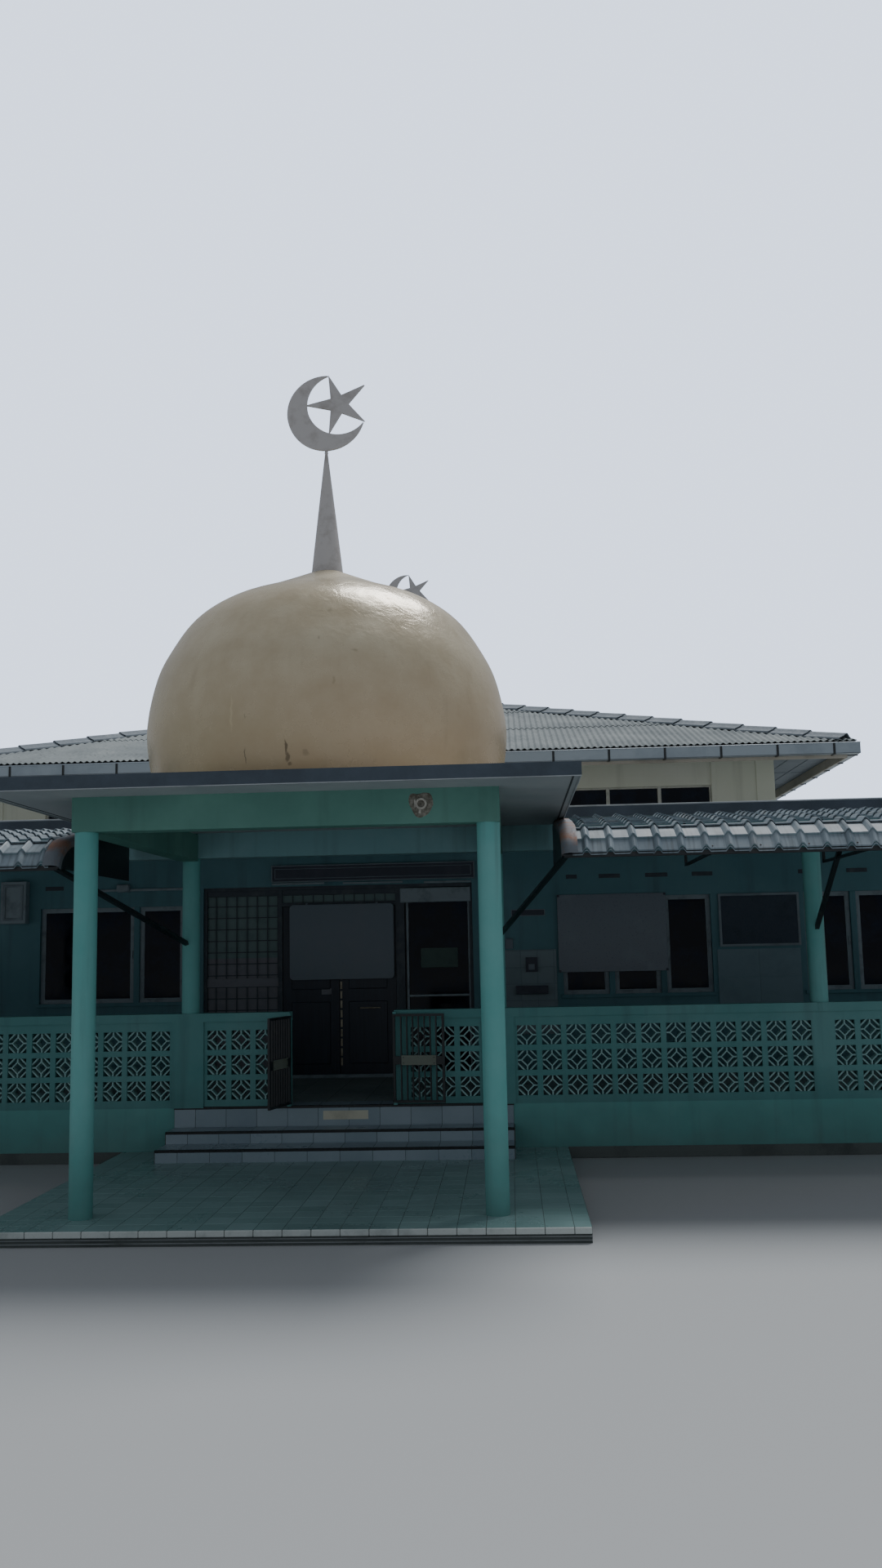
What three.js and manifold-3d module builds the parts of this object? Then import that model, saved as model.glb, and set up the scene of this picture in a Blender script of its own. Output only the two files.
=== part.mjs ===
// A single-storey mosque with a raised prayer hall, a veranda and a domed entrance porch.
// Millimetres, +Z up, +Y towards the rear. The origin is at ground level, under the middle of the building.

import * as THREE from 'three';
import { mergeVertices } from 'three/addons/utils/BufferGeometryUtils.js';
import Module from 'manifold-3d';

const wasm = await Module();
wasm.setup();

// Driving dimensions: the ground plan
const PORCH_EDGE_Y = -8630;
const REAR_EDGE_Y = 8630;
const BLOCK_HALF = 7950;
const FLAT_ROOF_HALF = 8350;
const HALL_HALF = 4930;
const EAVE_OVERHANG = 850;
const WALL = 150;

const APRON_Y = PORCH_EDGE_Y + 150;
const PORCH_COLUMN_Y = PORCH_EDGE_Y + 600;
const DOME_Y = PORCH_EDGE_Y + 1980;
const STEP_LOWER_Y = PORCH_EDGE_Y + 3070;
const STEP_UPPER_Y = PORCH_EDGE_Y + 3450;
const FLAT_ROOF_Y = PORCH_EDGE_Y + 3600;
const VERANDA_Y = PORCH_EDGE_Y + 3770;
const HALL_Y = REAR_EDGE_Y - EAVE_OVERHANG - 2 * HALL_HALF;
const HALL_BACK_Y = HALL_Y + 2 * HALL_HALF;
const HALL_CENTRE_Y = HALL_Y + HALL_HALF;
// The raised hall stands a little to the right of the porch's middle
const HALL_X = 60;
const FLAT_ROOF_BACK_Y = HALL_BACK_Y + 400;

// Driving dimensions: the heights
const APRON_TOP = 100;
const STEP_LOWER_TOP = 218;
const STEP_UPPER_TOP = 333;
const FLOOR = 530;
const COPE_BOTTOM = 1375;
const COPE_TOP = 1460;
const SILL = 1480;
const WINDOW_HEAD = 2660;
const ENTRANCE_HEAD = 2870;
const PORCH_BEAM_BOTTOM = 3000;
const VERANDA_BEAM_BOTTOM = 3030;
const PORCH_SOFFIT = 3270;
const FLAT_ROOF_SOFFIT = 3340;
const SLAB = 100;
const FLAT_ROOF_TOP = FLAT_ROOF_SOFFIT + SLAB;
const PORCH_ROOF_TOP = PORCH_SOFFIT + SLAB;
const UPPER_SILL = 3560;
const UPPER_HEAD = 4000;
const CEILING = 4300;

// The porch, the columns and the parapets
const PORCH_HALF = 2250;
const PORCH_COLUMN_X = 1560;
const COLUMN_RADIUS = 90;
const COLUMN_PITCH = 3190;
const BEAM = 180;
const PARAPET = 120;
const PIER = 320;
const GATE_GAP_HALF = 525;
const COPE_OVER = 20;
const COPE_LAP = 10;
const COLUMN_SEAT_OVER = 30;
const GATE_PANEL_COLUMNS = 3;
const BAY_COLUMNS = 12;
const END_COLUMNS = 10;
const BLOCK = 245.5;
const BLOCK_OPENING = 190;
const BLOCK_ROWS = 3;
const BLOCK_ROW_TOP = 1288;

// Meshes that rest on cut or turned faces keep this distance
const SEAT = 0.3;

const building = new THREE.Group();

function material(colour, roughness, metalness = 0) {
  return new THREE.MeshStandardMaterial({ color: colour, roughness, metalness });
}

const LOOK = {
  teal: () => material(0x5fa39a, 0.6),
  slabBlue: () => material(0x5b6a78, 0.7),
  cream: () => material(0xc9cdb4, 0.8),
  ceiling: () => material(0xcfcfc8, 0.8),
  floorTile: () => material(0x6f8f88, 0.35),
  stepTile: () => material(0xb9bfc2, 0.3),
  gold: () => material(0xb09a6c, 0.45, 0.5),
  bronze: () => material(0x6e6a66, 0.5, 0.6),
  roofSheet: () => material(0x9a9e9b, 0.9),
  gutter: () => material(0x9fa3ac, 0.5),
  awning: () => material(0xa9b2b6, 0.4, 0.7),
  darkSteel: () => material(0x22262a, 0.5, 0.6),
  glass: () => material(0x2a3338, 0.1),
  frame: () => material(0x4a5252, 0.5, 0.4),
  board: () => material(0xc6ccc8, 0.4),
  blackboard: () => material(0x2a3634, 0.6),
};

function add(name, geometry, look, x = 0, y = 0, z = 0) {
  const mesh = new THREE.Mesh(geometry, look());
  mesh.name = name;
  mesh.position.set(x, y, z);
  building.add(mesh);
  return mesh;
}

// A box from its low corner to its high corner
function block(x0, y0, z0, x1, y1, z1) {
  const geometry = new THREE.BoxGeometry(x1 - x0, y1 - y0, z1 - z0);
  geometry.translate((x0 + x1) / 2, (y0 + y1) / 2, (z0 + z1) / 2);
  return geometry;
}

function upright(radius, z0, z1, x, y, sides = 24) {
  const geometry = new THREE.CylinderGeometry(radius, radius, z1 - z0, sides);
  geometry.rotateX(Math.PI / 2);
  geometry.translate(x, y, (z0 + z1) / 2);
  return geometry;
}

function toSolid(geometry) {
  const bare = geometry.clone();
  bare.deleteAttribute('normal');
  bare.deleteAttribute('uv');
  const merged = mergeVertices(bare, 1e-3);
  const vertProperties = Float32Array.from(merged.attributes.position.array);
  const triVerts = Uint32Array.from(merged.index.array);
  return new wasm.Manifold(new wasm.Mesh({ numProp: 3, vertProperties, triVerts }));
}

function toGeometry(solid) {
  const mesh = solid.getMesh();
  const geometry = new THREE.BufferGeometry();
  geometry.setAttribute('position', new THREE.BufferAttribute(mesh.vertProperties, 3));
  geometry.setIndex(new THREE.BufferAttribute(mesh.triVerts, 1));
  return geometry;
}

function join(...geometries) {
  return toGeometry(geometries.map(toSolid).reduce((a, b) => a.add(b)));
}

function cut(body, ...tools) {
  return toGeometry(tools.map(toSolid).reduce((a, b) => a.subtract(b), toSolid(body)));
}

// A wall along X, its front face at y, its thickness towards the rear, with holes as (x0, z0, x1, z1)
function wallAlongX(x0, x1, z0, z1, y, thickness, holes = []) {
  const over = 10;
  const tools = holes.map(([a0, b0, a1, b1]) => block(a0, y - over, b0, a1, y + thickness + over, b1));
  return cut(block(x0, y, z0, x1, y + thickness, z1), ...tools);
}

// A wall along Y, its low face at x, its thickness towards +X, with holes as (y0, z0, y1, z1)
function wallAlongY(y0, y1, z0, z1, x, thickness, holes = []) {
  const over = 10;
  const tools = holes.map(([a0, b0, a1, b1]) => block(x - over, a0, b0, x + thickness + over, a1, b1));
  return cut(block(x, y0, z0, x + thickness, y1, z1), ...tools);
}

// A profile drawn as (y, z), swept along X
function sweepAlongX(points, x0, x1) {
  const shape = new THREE.Shape(points.map(([y, z]) => new THREE.Vector2(y, z)));
  const geometry = new THREE.ExtrudeGeometry(shape, { depth: x1 - x0, bevelEnabled: false });
  geometry.rotateX(Math.PI / 2);
  geometry.rotateZ(Math.PI / 2);
  geometry.translate(x0, 0, 0);
  return geometry;
}

// The raised floor, the porch apron and its steps
function addGround() {
  const apronHalf = PORCH_HALF - 30;
  const stepHalf = 1695;
  add('floor_plinth', block(-BLOCK_HALF, VERANDA_Y, 0, BLOCK_HALF, HALL_BACK_Y, FLOOR), LOOK.teal);
  add('porch_apron', block(-apronHalf, APRON_Y, 0, apronHalf, VERANDA_Y, APRON_TOP), LOOK.floorTile);
  const lower = block(-stepHalf, STEP_LOWER_Y, APRON_TOP, stepHalf, VERANDA_Y, STEP_LOWER_TOP);
  add('entrance_step_lower', lower, LOOK.stepTile);
  const upper = block(-stepHalf, STEP_UPPER_Y, STEP_LOWER_TOP, stepHalf, VERANDA_Y, STEP_UPPER_TOP);
  add('entrance_step_upper', upper, LOOK.stepTile);
}

// The front pair carries the porch, the others stand on the parapet
function addColumns() {
  const rearY = VERANDA_Y + COLUMN_RADIUS;
  for (const [side, sign] of [['left', -1], ['right', 1]]) {
    const x = sign * PORCH_COLUMN_X;
    const front = upright(COLUMN_RADIUS, APRON_TOP, PORCH_BEAM_BOTTOM, x, PORCH_COLUMN_Y);
    add(`porch_front_column_${side}`, front, LOOK.teal);
    const rear = upright(COLUMN_RADIUS, COPE_TOP, VERANDA_BEAM_BOTTOM, x, rearY);
    add(`porch_rear_column_${side}`, rear, LOOK.teal);
    for (const [place, bays] of [['inner', 1], ['outer', 2]]) {
      const far = Math.min(PORCH_COLUMN_X + bays * COLUMN_PITCH, BLOCK_HALF - COLUMN_RADIUS);
      const column = upright(COLUMN_RADIUS, COPE_TOP, VERANDA_BEAM_BOTTOM, sign * far, rearY);
      add(`veranda_column_${side}_${place}`, column, LOOK.teal);
    }
  }
}

// The porch beams form a U that meets the veranda beam
function addBeams() {
  const outer = PORCH_COLUMN_X + BEAM / 2;
  const inner = outer - BEAM;
  const front = PORCH_COLUMN_Y - BEAM / 2;
  const porch = [
    [-outer, front],
    [outer, front],
    [outer, VERANDA_Y],
    [inner, VERANDA_Y],
    [inner, front + BEAM],
    [-inner, front + BEAM],
    [-inner, VERANDA_Y],
    [-outer, VERANDA_Y],
  ];
  const shape = new THREE.Shape(porch.map(([x, y]) => new THREE.Vector2(x, y)));
  const depth = PORCH_SOFFIT - PORCH_BEAM_BOTTOM;
  const beam = new THREE.ExtrudeGeometry(shape, { depth, bevelEnabled: false });
  beam.translate(0, 0, PORCH_BEAM_BOTTOM);
  add('porch_beam', beam, LOOK.teal);
  const [x, y] = [BLOCK_HALF, VERANDA_Y + BEAM];
  const veranda = block(-x, VERANDA_Y, VERANDA_BEAM_BOTTOM, x, y, FLAT_ROOF_SOFFIT);
  add('veranda_beam', veranda, LOOK.teal);
}

// The porch slab butts against the flat roof, which rings the raised hall
function addRoofSlabs() {
  const porch = block(-PORCH_HALF, PORCH_EDGE_Y, PORCH_SOFFIT, PORCH_HALF, FLAT_ROOF_Y, PORCH_ROOF_TOP);
  add('porch_roof_slab', porch, LOOK.slabBlue);
  const well = HALL_HALF - WALL;
  const slab = cut(
    block(-FLAT_ROOF_HALF, FLAT_ROOF_Y, FLAT_ROOF_SOFFIT, FLAT_ROOF_HALF, FLAT_ROOF_BACK_Y, FLAT_ROOF_TOP),
    block(HALL_X - well, HALL_CENTRE_Y - well, 0, HALL_X + well, HALL_CENTRE_Y + well, CEILING),
  );
  add('flat_roof_slab', slab, LOOK.slabBlue);
}

// A crescent that stands on a point, with a five-pointed star between its horns
const CRESCENT_RADIUS = 359;
const CRESCENT_FOOT = 6;
const SPIRE_RADIUS = 143;

function crescentStar() {
  const thickness = 30;
  const cutRadius = 292;
  const cutX = 117;
  const cutZ = 82;
  const starRadius = cutRadius + 8;
  const starInner = 91;
  const points = 5;
  const facets = 64;
  const disc = new THREE.CylinderGeometry(CRESCENT_RADIUS, CRESCENT_RADIUS, thickness, facets);
  const bite = new THREE.CylinderGeometry(cutRadius, cutRadius, 2 * thickness, facets);
  bite.translate(cutX, 0, cutZ);
  const star = new THREE.Shape();
  for (let i = 0; i < 2 * points; i += 1) {
    const radius = i % 2 === 0 ? starRadius : starInner;
    const angle = Math.PI + (i * Math.PI) / points;
    const [x, z] = [radius * Math.cos(angle), radius * Math.sin(angle)];
    if (i === 0) star.moveTo(x, z);
    else star.lineTo(x, z);
  }
  star.closePath();
  const starPlate = new THREE.ExtrudeGeometry(star, { depth: thickness, bevelEnabled: false });
  starPlate.rotateX(Math.PI / 2);
  starPlate.translate(cutX, thickness / 2, cutZ);
  const half = thickness / 2;
  const footBottom = -CRESCENT_RADIUS - CRESCENT_FOOT;
  const foot = block(-half, -half, footBottom, half, half, -CRESCENT_RADIUS + thickness);
  return toGeometry(toSolid(disc).subtract(toSolid(bite)).add(toSolid(starPlate)).add(toSolid(foot)));
}

function spire(height) {
  const points = [
    [0, 0],
    [SPIRE_RADIUS, 0],
    [12, height],
    [0, height],
  ];
  const geometry = new THREE.LatheGeometry(points.map(([r, z]) => new THREE.Vector2(r, z)), 24);
  geometry.rotateX(Math.PI / 2);
  return geometry;
}

// The dome swells a little above its base and rises to a blunt point under the spire.
// Its outline is drawn through these radii and heights, from the base to the seat of the spire.
const DOME_X = 145;
const DOME_OUTLINE = [
  [1490, 0],
  [1555, 310],
  [1575, 620],
  [1500, 1010],
  [1380, 1270],
  [1200, 1530],
  [950, 1715],
  [600, 1860],
  [150, 2060],
];
const DOME_HEIGHT = DOME_OUTLINE[DOME_OUTLINE.length - 1][1];
const DOME_SKIN = 40;

function domeCurve(inset) {
  const outline = DOME_OUTLINE.map(([r, z]) => new THREE.Vector2(r - inset, z * (1 - inset / DOME_HEIGHT)));
  const points = new THREE.SplineCurve(outline).getPoints(24).map(({ x, y }) => [x, y]);
  return [...points, [0, DOME_HEIGHT - inset]];
}

function addDome() {
  const profile = [...domeCurve(DOME_SKIN).reverse(), ...domeCurve(0)];
  const closed = [...profile, profile[0]].map(([r, z]) => new THREE.Vector2(r, z));
  const geometry = new THREE.LatheGeometry(closed, 40);
  geometry.rotateX(Math.PI / 2);
  add('dome', geometry, LOOK.gold, DOME_X, DOME_Y, PORCH_ROOF_TOP);
  const spireHeight = 1167;
  const tip = PORCH_ROOF_TOP + DOME_HEIGHT + spireHeight;
  add('dome_spire', spire(spireHeight), LOOK.bronze, DOME_X, DOME_Y, PORCH_ROOF_TOP + DOME_HEIGHT);
  const crescentZ = tip + CRESCENT_FOOT + CRESCENT_RADIUS;
  add('dome_crescent_star', crescentStar(), LOOK.bronze, DOME_X, DOME_Y, crescentZ);
}

// Rows of square holes for the ventilation blocks, counted outwards from the start
function blockHoles(start, count, direction = 1) {
  const holes = [];
  for (let column = 0; column < count; column += 1) {
    for (let row = 0; row < BLOCK_ROWS; row += 1) {
      const middle = start + direction * (column + 0.5) * BLOCK;
      const top = BLOCK_ROW_TOP - row * BLOCK;
      const half = BLOCK_OPENING / 2;
      holes.push([middle - half, top - BLOCK_OPENING, middle + half, top]);
    }
  }
  return holes;
}

// The low walls on each side of the gate, with the piers that carry the rear porch columns
function addGateParapets() {
  const pierInner = PORCH_COLUMN_X - PIER / 2;
  const pierOuter = PORCH_COLUMN_X + PIER / 2;
  const joint = 5;
  const [front, back] = [VERANDA_Y - COPE_OVER, VERANDA_Y + PARAPET + COPE_OVER];
  for (const [side, sign] of [['left', -1], ['right', 1]]) {
    const [x0, x1] = sign < 0 ? [-pierOuter, -GATE_GAP_HALF] : [GATE_GAP_HALF, pierOuter];
    const holes = blockHoles(sign * (pierInner - joint), GATE_PANEL_COLUMNS, -sign);
    const panel = wallAlongX(x0, x1, FLOOR, COPE_BOTTOM + COPE_LAP, VERANDA_Y, PARAPET, holes);
    const cope = block(x0, front, COPE_BOTTOM, x1, back, COPE_TOP);
    const [p0, p1] = sign < 0 ? [-pierOuter, -pierInner] : [pierInner, pierOuter];
    const pier = block(p0, front, FLOOR, p1, VERANDA_Y + 2 * COLUMN_RADIUS, COPE_TOP);
    const lugs = GATE_LUG_HEIGHTS.map((z) => gateLug(sign, z));
    add(`gate_parapet_${side}`, join(panel, cope, pier, ...lugs), LOOK.teal);
  }
}

// The long parapets run from the porch piers to the corners and turn back to the hall
function addVerandaParapets() {
  const start = PORCH_COLUMN_X + PIER / 2;
  const bayTwo = PORCH_COLUMN_X + COLUMN_PITCH + COLUMN_RADIUS;
  const wallTop = COPE_BOTTOM + COPE_LAP;
  const seatRadius = COLUMN_RADIUS + COLUMN_SEAT_OVER;
  const columnSeat = (x) => upright(seatRadius, COPE_BOTTOM, COPE_TOP, x, VERANDA_Y + COLUMN_RADIUS);
  for (const [side, sign] of [['left', -1], ['right', 1]]) {
    const low = sign < 0 ? -BLOCK_HALF : start;
    const high = sign < 0 ? -start : BLOCK_HALF;
    const holes = [
      ...blockHoles(sign * start, BAY_COLUMNS, sign),
      ...blockHoles(sign * bayTwo, BAY_COLUMNS, sign),
    ];
    const panel = wallAlongX(low, high, FLOOR, wallTop, VERANDA_Y, PARAPET, holes);
    const [f0, f1] = [VERANDA_Y - COPE_OVER, VERANDA_Y + PARAPET + COPE_OVER];
    const cope = block(low, f0, COPE_BOTTOM, high, f1, COPE_TOP);
    const sideX = sign < 0 ? -BLOCK_HALF : BLOCK_HALF - PARAPET;
    const sideStart = VERANDA_Y + PARAPET;
    const sideHoles = blockHoles(sideStart + COLUMN_RADIUS, END_COLUMNS);
    const returnPanel = wallAlongY(sideStart, HALL_Y, FLOOR, wallTop, sideX, PARAPET, sideHoles);
    const [s0, s1] = [sideX - COPE_OVER, sideX + PARAPET + COPE_OVER];
    const returnCope = block(s0, f0, COPE_BOTTOM, s1, HALL_Y, COPE_TOP);
    const seats = [bayTwo, BLOCK_HALF].map((edge) => columnSeat(sign * (edge - COLUMN_RADIUS)));
    add(`veranda_parapet_${side}`, join(panel, cope, returnPanel, returnCope, ...seats), LOOK.teal);
  }
}

// Gate leaves hang in front of the parapet and swing outwards over the steps
const GATE_AXIS_Y = VERANDA_Y - 50;
const GATE_BAR = 24;
const GATE_LENGTH = 510;
const GATE_BOTTOM = FLOOR + 30;
const GATE_TOP = 1425;
const GATE_LUG = 20;
const GATE_LUG_HEIGHTS = [GATE_BOTTOM - GATE_LUG - SEAT, GATE_TOP + SEAT];

function gateLug(sign, z) {
  const axisX = sign * GATE_GAP_HALF;
  const reach = GATE_BAR;
  const x0 = Math.min(axisX - sign * (GATE_BAR / 2), axisX + sign * reach);
  const x1 = Math.max(axisX - sign * (GATE_BAR / 2), axisX + sign * reach);
  return block(x0, GATE_AXIS_Y - GATE_BAR / 2, z, x1, VERANDA_Y + GATE_BAR, z + GATE_LUG);
}

// One leaf along +X from its hinge, with upright bars and a blank plate across the middle
function gateLeaf() {
  const bars = 7;
  const barWidth = 12;
  const plateBottom = 930;
  const plateTop = 1010;
  const inner0 = GATE_BAR / 2;
  const inner1 = GATE_LENGTH - GATE_BAR;
  const pitch = (inner1 - inner0) / (bars + 1);
  const bands = [
    [GATE_BOTTOM + GATE_BAR, plateBottom],
    [plateTop, GATE_TOP - GATE_BAR],
  ];
  const holes = [];
  for (const [z0, z1] of bands) {
    for (let i = 0; i <= bars; i += 1) {
      const from = inner0 + i * pitch + (i > 0 ? barWidth / 2 : 0);
      const to = inner0 + (i + 1) * pitch - (i < bars ? barWidth / 2 : 0);
      holes.push([from, z0, to, z1]);
    }
  }
  return wallAlongX(-GATE_BAR / 2, GATE_LENGTH, GATE_BOTTOM, GATE_TOP, -GATE_BAR / 2, GATE_BAR, holes);
}

const GATE_LEFT_OPEN = THREE.MathUtils.degToRad(103);
const GATE_RIGHT_OPEN = THREE.MathUtils.degToRad(172);

function addGates() {
  const left = add('gate_leaf_left', gateLeaf(), LOOK.darkSteel, -GATE_GAP_HALF, GATE_AXIS_Y, 0);
  left.rotation.z = -GATE_LEFT_OPEN;
  const right = add('gate_leaf_right', gateLeaf(), LOOK.darkSteel, GATE_GAP_HALF, GATE_AXIS_Y, 0);
  right.rotation.z = Math.PI + GATE_RIGHT_OPEN;
}

// Window openings, named once and mirrored: three casements fill each
const WINDOW_INNER = [2340, 4150];
const WINDOW_OUTER = [5270, 7080];
const ENTRANCE_LEFT = -2090;
const ENTRANCE_RIGHT = 1250;

function windowHoles(spans) {
  return spans.map(([a, b]) => [a, SILL, b, WINDOW_HEAD]);
}

function mirrored([a, b]) {
  return [-b, -a];
}

// The lower walls, split beside and over the entrance
function addLowerWalls() {
  const wallTop = FLAT_ROOF_SOFFIT;
  const leftHoles = windowHoles([mirrored(WINDOW_OUTER), mirrored(WINDOW_INNER)]);
  const left = wallAlongX(-BLOCK_HALF, ENTRANCE_LEFT, FLOOR, wallTop, HALL_Y, WALL, leftHoles);
  add('front_wall_left', left, LOOK.teal);
  const rightHoles = windowHoles([WINDOW_INNER, WINDOW_OUTER]);
  const right = wallAlongX(ENTRANCE_RIGHT, BLOCK_HALF, FLOOR, wallTop, HALL_Y, WALL, rightHoles);
  add('front_wall_right', right, LOOK.teal);
  const over = block(ENTRANCE_LEFT, HALL_Y, ENTRANCE_HEAD, ENTRANCE_RIGHT, HALL_Y + WALL, wallTop);
  add('front_wall_over_entrance', over, LOOK.teal);
  const sideSpans = sideWindows();
  const [y0, y1] = [HALL_Y + WALL, HALL_BACK_Y - WALL];
  const sideHoles = windowHoles(sideSpans);
  const sideLeft = wallAlongY(y0, y1, FLOOR, wallTop, -BLOCK_HALF, WALL, sideHoles);
  add('side_wall_left', sideLeft, LOOK.teal);
  const sideRight = wallAlongY(y0, y1, FLOOR, wallTop, BLOCK_HALF - WALL, WALL, sideHoles);
  add('side_wall_right', sideRight, LOOK.teal);
  const rearSpans = [mirrored(WINDOW_OUTER), mirrored(WINDOW_INNER), WINDOW_INNER, WINDOW_OUTER];
  const rearHoles = windowHoles(rearSpans);
  const rear = wallAlongX(-BLOCK_HALF, BLOCK_HALF, FLOOR, wallTop, HALL_BACK_Y - WALL, WALL, rearHoles);
  add('rear_wall', rear, LOOK.teal);
}

function sideWindows() {
  const width = WINDOW_INNER[1] - WINDOW_INNER[0];
  return [-1, 1].map((side) => {
    const middle = HALL_CENTRE_Y + (side * HALL_HALF) / 2;
    return [middle - width / 2, middle + width / 2];
  });
}

// One sheet of glass behind each lower wall closes its windows
const GLASS = 10;

function addLowerGlass() {
  const lap = 30;
  const [z0, z1] = [SILL - lap, WINDOW_HEAD + lap];
  const [a, b] = [WINDOW_INNER[0] - lap, WINDOW_OUTER[1] + lap];
  const y = HALL_Y + WALL;
  add('front_glass_left', block(-b, y, z0, -a, y + GLASS, z1), LOOK.glass);
  add('front_glass_right', block(a, y, z0, b, y + GLASS, z1), LOOK.glass);
  const rearY = HALL_BACK_Y - WALL;
  add('rear_glass', block(-b, rearY - GLASS, z0, b, rearY, z1), LOOK.glass);
  const spans = sideWindows();
  const [s0, s1] = [spans[0][0] - lap, spans[1][1] + lap];
  const x = BLOCK_HALF - WALL;
  add('side_glass_left', block(-x, s0, z0, -x + GLASS, s1, z1), LOOK.glass);
  add('side_glass_right', block(x - GLASS, s0, z0, x, s1, z1), LOOK.glass);
}

// The wall of the raised hall stands on the flat roof, with bands of small high windows
const HIGH_WINDOWS = [[-4170, -2270], [-950, 950], [2270, 4170]];

function addUpperWall() {
  const outer = HALL_HALF;
  const inner = HALL_HALF - WALL;
  const over = 10;
  const tools = [block(-inner, -inner, FLAT_ROOF_TOP - over, inner, inner, CEILING + over)];
  for (const [a, b] of HIGH_WINDOWS) {
    tools.push(block(a, -outer - over, UPPER_SILL, b, outer + over, UPPER_HEAD));
    tools.push(block(-outer - over, a, UPPER_SILL, outer + over, b, UPPER_HEAD));
  }
  const wall = cut(block(-outer, -outer, FLAT_ROOF_TOP, outer, outer, CEILING), ...tools);
  add('upper_wall', wall, LOOK.cream, HALL_X, HALL_CENTRE_Y, 0);
}

function addUpperGlass() {
  const lap = 30;
  const outer = HALL_HALF - WALL;
  const inner = outer - GLASS;
  const [z0, z1] = [UPPER_SILL - lap, UPPER_HEAD + lap];
  const ring = cut(
    block(-outer, -outer, z0, outer, outer, z1),
    block(-inner, -inner, z0 - lap, inner, inner, z1 + lap),
  );
  ring.translate(HALL_X, HALL_CENTRE_Y, 0);
  add('upper_glass', ring, LOOK.glass);
}

// The ceiling runs out as the eaves soffit. It carries the roof, and the gutter hangs round its edge
const CEILING_BOARD = 30;
const EAVE_HALF = HALL_HALF + EAVE_OVERHANG;
const GUTTER_WIDTH = 130;
const GUTTER_BOTTOM = 4220;
const GUTTER_TOP = 4335;
const GUTTER_SKIN = 20;
const SHEET = 50;
const ROOF_PITCH = 0.318;
const ROOF_HALF = EAVE_HALF - 60;
const ROOF_EDGE_TOP = 4405;
const FASCIA = 25;
const FASCIA_GAP = 10;
const CAP_RISE = 5;

function addEaves() {
  const board = EAVE_HALF - GUTTER_WIDTH;
  const ceiling = block(-board, -board, CEILING, board, board, CEILING + CEILING_BOARD);
  add('hall_ceiling', ceiling, LOOK.ceiling, HALL_X, HALL_CENTRE_Y, 0);
  const outer = EAVE_HALF;
  const trough = outer - GUTTER_SKIN;
  const back = board + GUTTER_SKIN;
  const gutter = cut(
    block(-outer, -outer, GUTTER_BOTTOM, outer, outer, GUTTER_TOP),
    block(-board, -board, GUTTER_BOTTOM - SLAB, board, board, GUTTER_TOP + SLAB),
    cut(
      block(-trough, -trough, GUTTER_BOTTOM + GUTTER_SKIN, trough, trough, GUTTER_TOP + SLAB),
      block(-back, -back, GUTTER_BOTTOM, back, back, GUTTER_TOP + 2 * SLAB),
    ),
  );
  add('hall_gutter', gutter, LOOK.gutter, HALL_X, HALL_CENTRE_Y, 0);
}

// A square pyramid with its base edge at the given half width
function pyramid(half, baseZ, apexZ) {
  const geometry = new THREE.ConeGeometry(half * Math.SQRT2, apexZ - baseZ, 4, 1);
  geometry.rotateX(Math.PI / 2);
  geometry.rotateZ(Math.PI / 4);
  geometry.translate(0, 0, (baseZ + apexZ) / 2);
  return geometry;
}

// The roof is a hipped shell on a ring of fascia boards that stands on the ceiling
function addHallRoof() {
  const capHalf = 240;
  const edgeBottom = ROOF_EDGE_TOP - SHEET;
  const apex = ROOF_EDGE_TOP + ROOF_HALF * ROOF_PITCH;
  const top = pyramid(ROOF_HALF, ROOF_EDGE_TOP, apex);
  const edge = block(-ROOF_HALF, -ROOF_HALF, edgeBottom, ROOF_HALF, ROOF_HALF, ROOF_EDGE_TOP);
  const fasciaHalf = EAVE_HALF - GUTTER_WIDTH - FASCIA_GAP;
  const fasciaBottom = CEILING + CEILING_BOARD;
  const atticHalf = fasciaHalf - FASCIA;
  const fascia = cut(
    block(-fasciaHalf, -fasciaHalf, fasciaBottom, fasciaHalf, fasciaHalf, edgeBottom),
    block(-atticHalf, -atticHalf, CEILING, atticHalf, atticHalf, edgeBottom + SHEET),
  );
  add('hall_fascia', fascia, LOOK.cream, HALL_X, HALL_CENTRE_Y, 0);
  const loft = pyramid(atticHalf, edgeBottom, edgeBottom + atticHalf * ROOF_PITCH);
  const capTop = apex + CAP_RISE;
  const cap = block(-capHalf, -capHalf, apex - capHalf * ROOF_PITCH - SHEET, capHalf, capHalf, capTop);
  const shell = toSolid(top).add(toSolid(edge)).add(toSolid(cap));
  const roof = toGeometry(shell.subtract(toSolid(loft)));
  add('hall_roof', roof, LOOK.roofSheet, HALL_X, HALL_CENTRE_Y, 0);
  const spireHeight = 1360;
  add('hall_spire', spire(spireHeight), LOOK.bronze, DOME_X, HALL_CENTRE_Y, capTop);
  const crescentZ = capTop + spireHeight + CRESCENT_FOOT + CRESCENT_RADIUS;
  add('hall_crescent_star', crescentStar(), LOOK.bronze, DOME_X, HALL_CENTRE_Y, crescentZ);
}

// The awning sheet: a steep front row, a second that leans back, then rows that flatten
const AWNING_FRONT_Y = PORCH_EDGE_Y + 1650;
const AWNING_FRONT_Z = 2820;
const AWNING_SHEET = 20;
const AWNING_NOSE = [[0, 0], [70, 115], [250, 225]];
const AWNING_ROW = 200;
const AWNING_SLOPES = [13, 10, 10, 8, 8, 8, 8, 8, 8];
const AWNING_END = PORCH_HALF - 90;

function awningTop() {
  const points = AWNING_NOSE.map(([y, z]) => [AWNING_FRONT_Y + y, AWNING_FRONT_Z + z]);
  for (const slope of AWNING_SLOPES) {
    const [y, z] = points[points.length - 1];
    const angle = THREE.MathUtils.degToRad(slope);
    points.push([y + AWNING_ROW * Math.cos(angle), z + AWNING_ROW * Math.sin(angle)]);
  }
  return points;
}

function awningUnderside() {
  return awningTop().map(([y, z]) => [y, z - AWNING_SHEET]);
}

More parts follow.
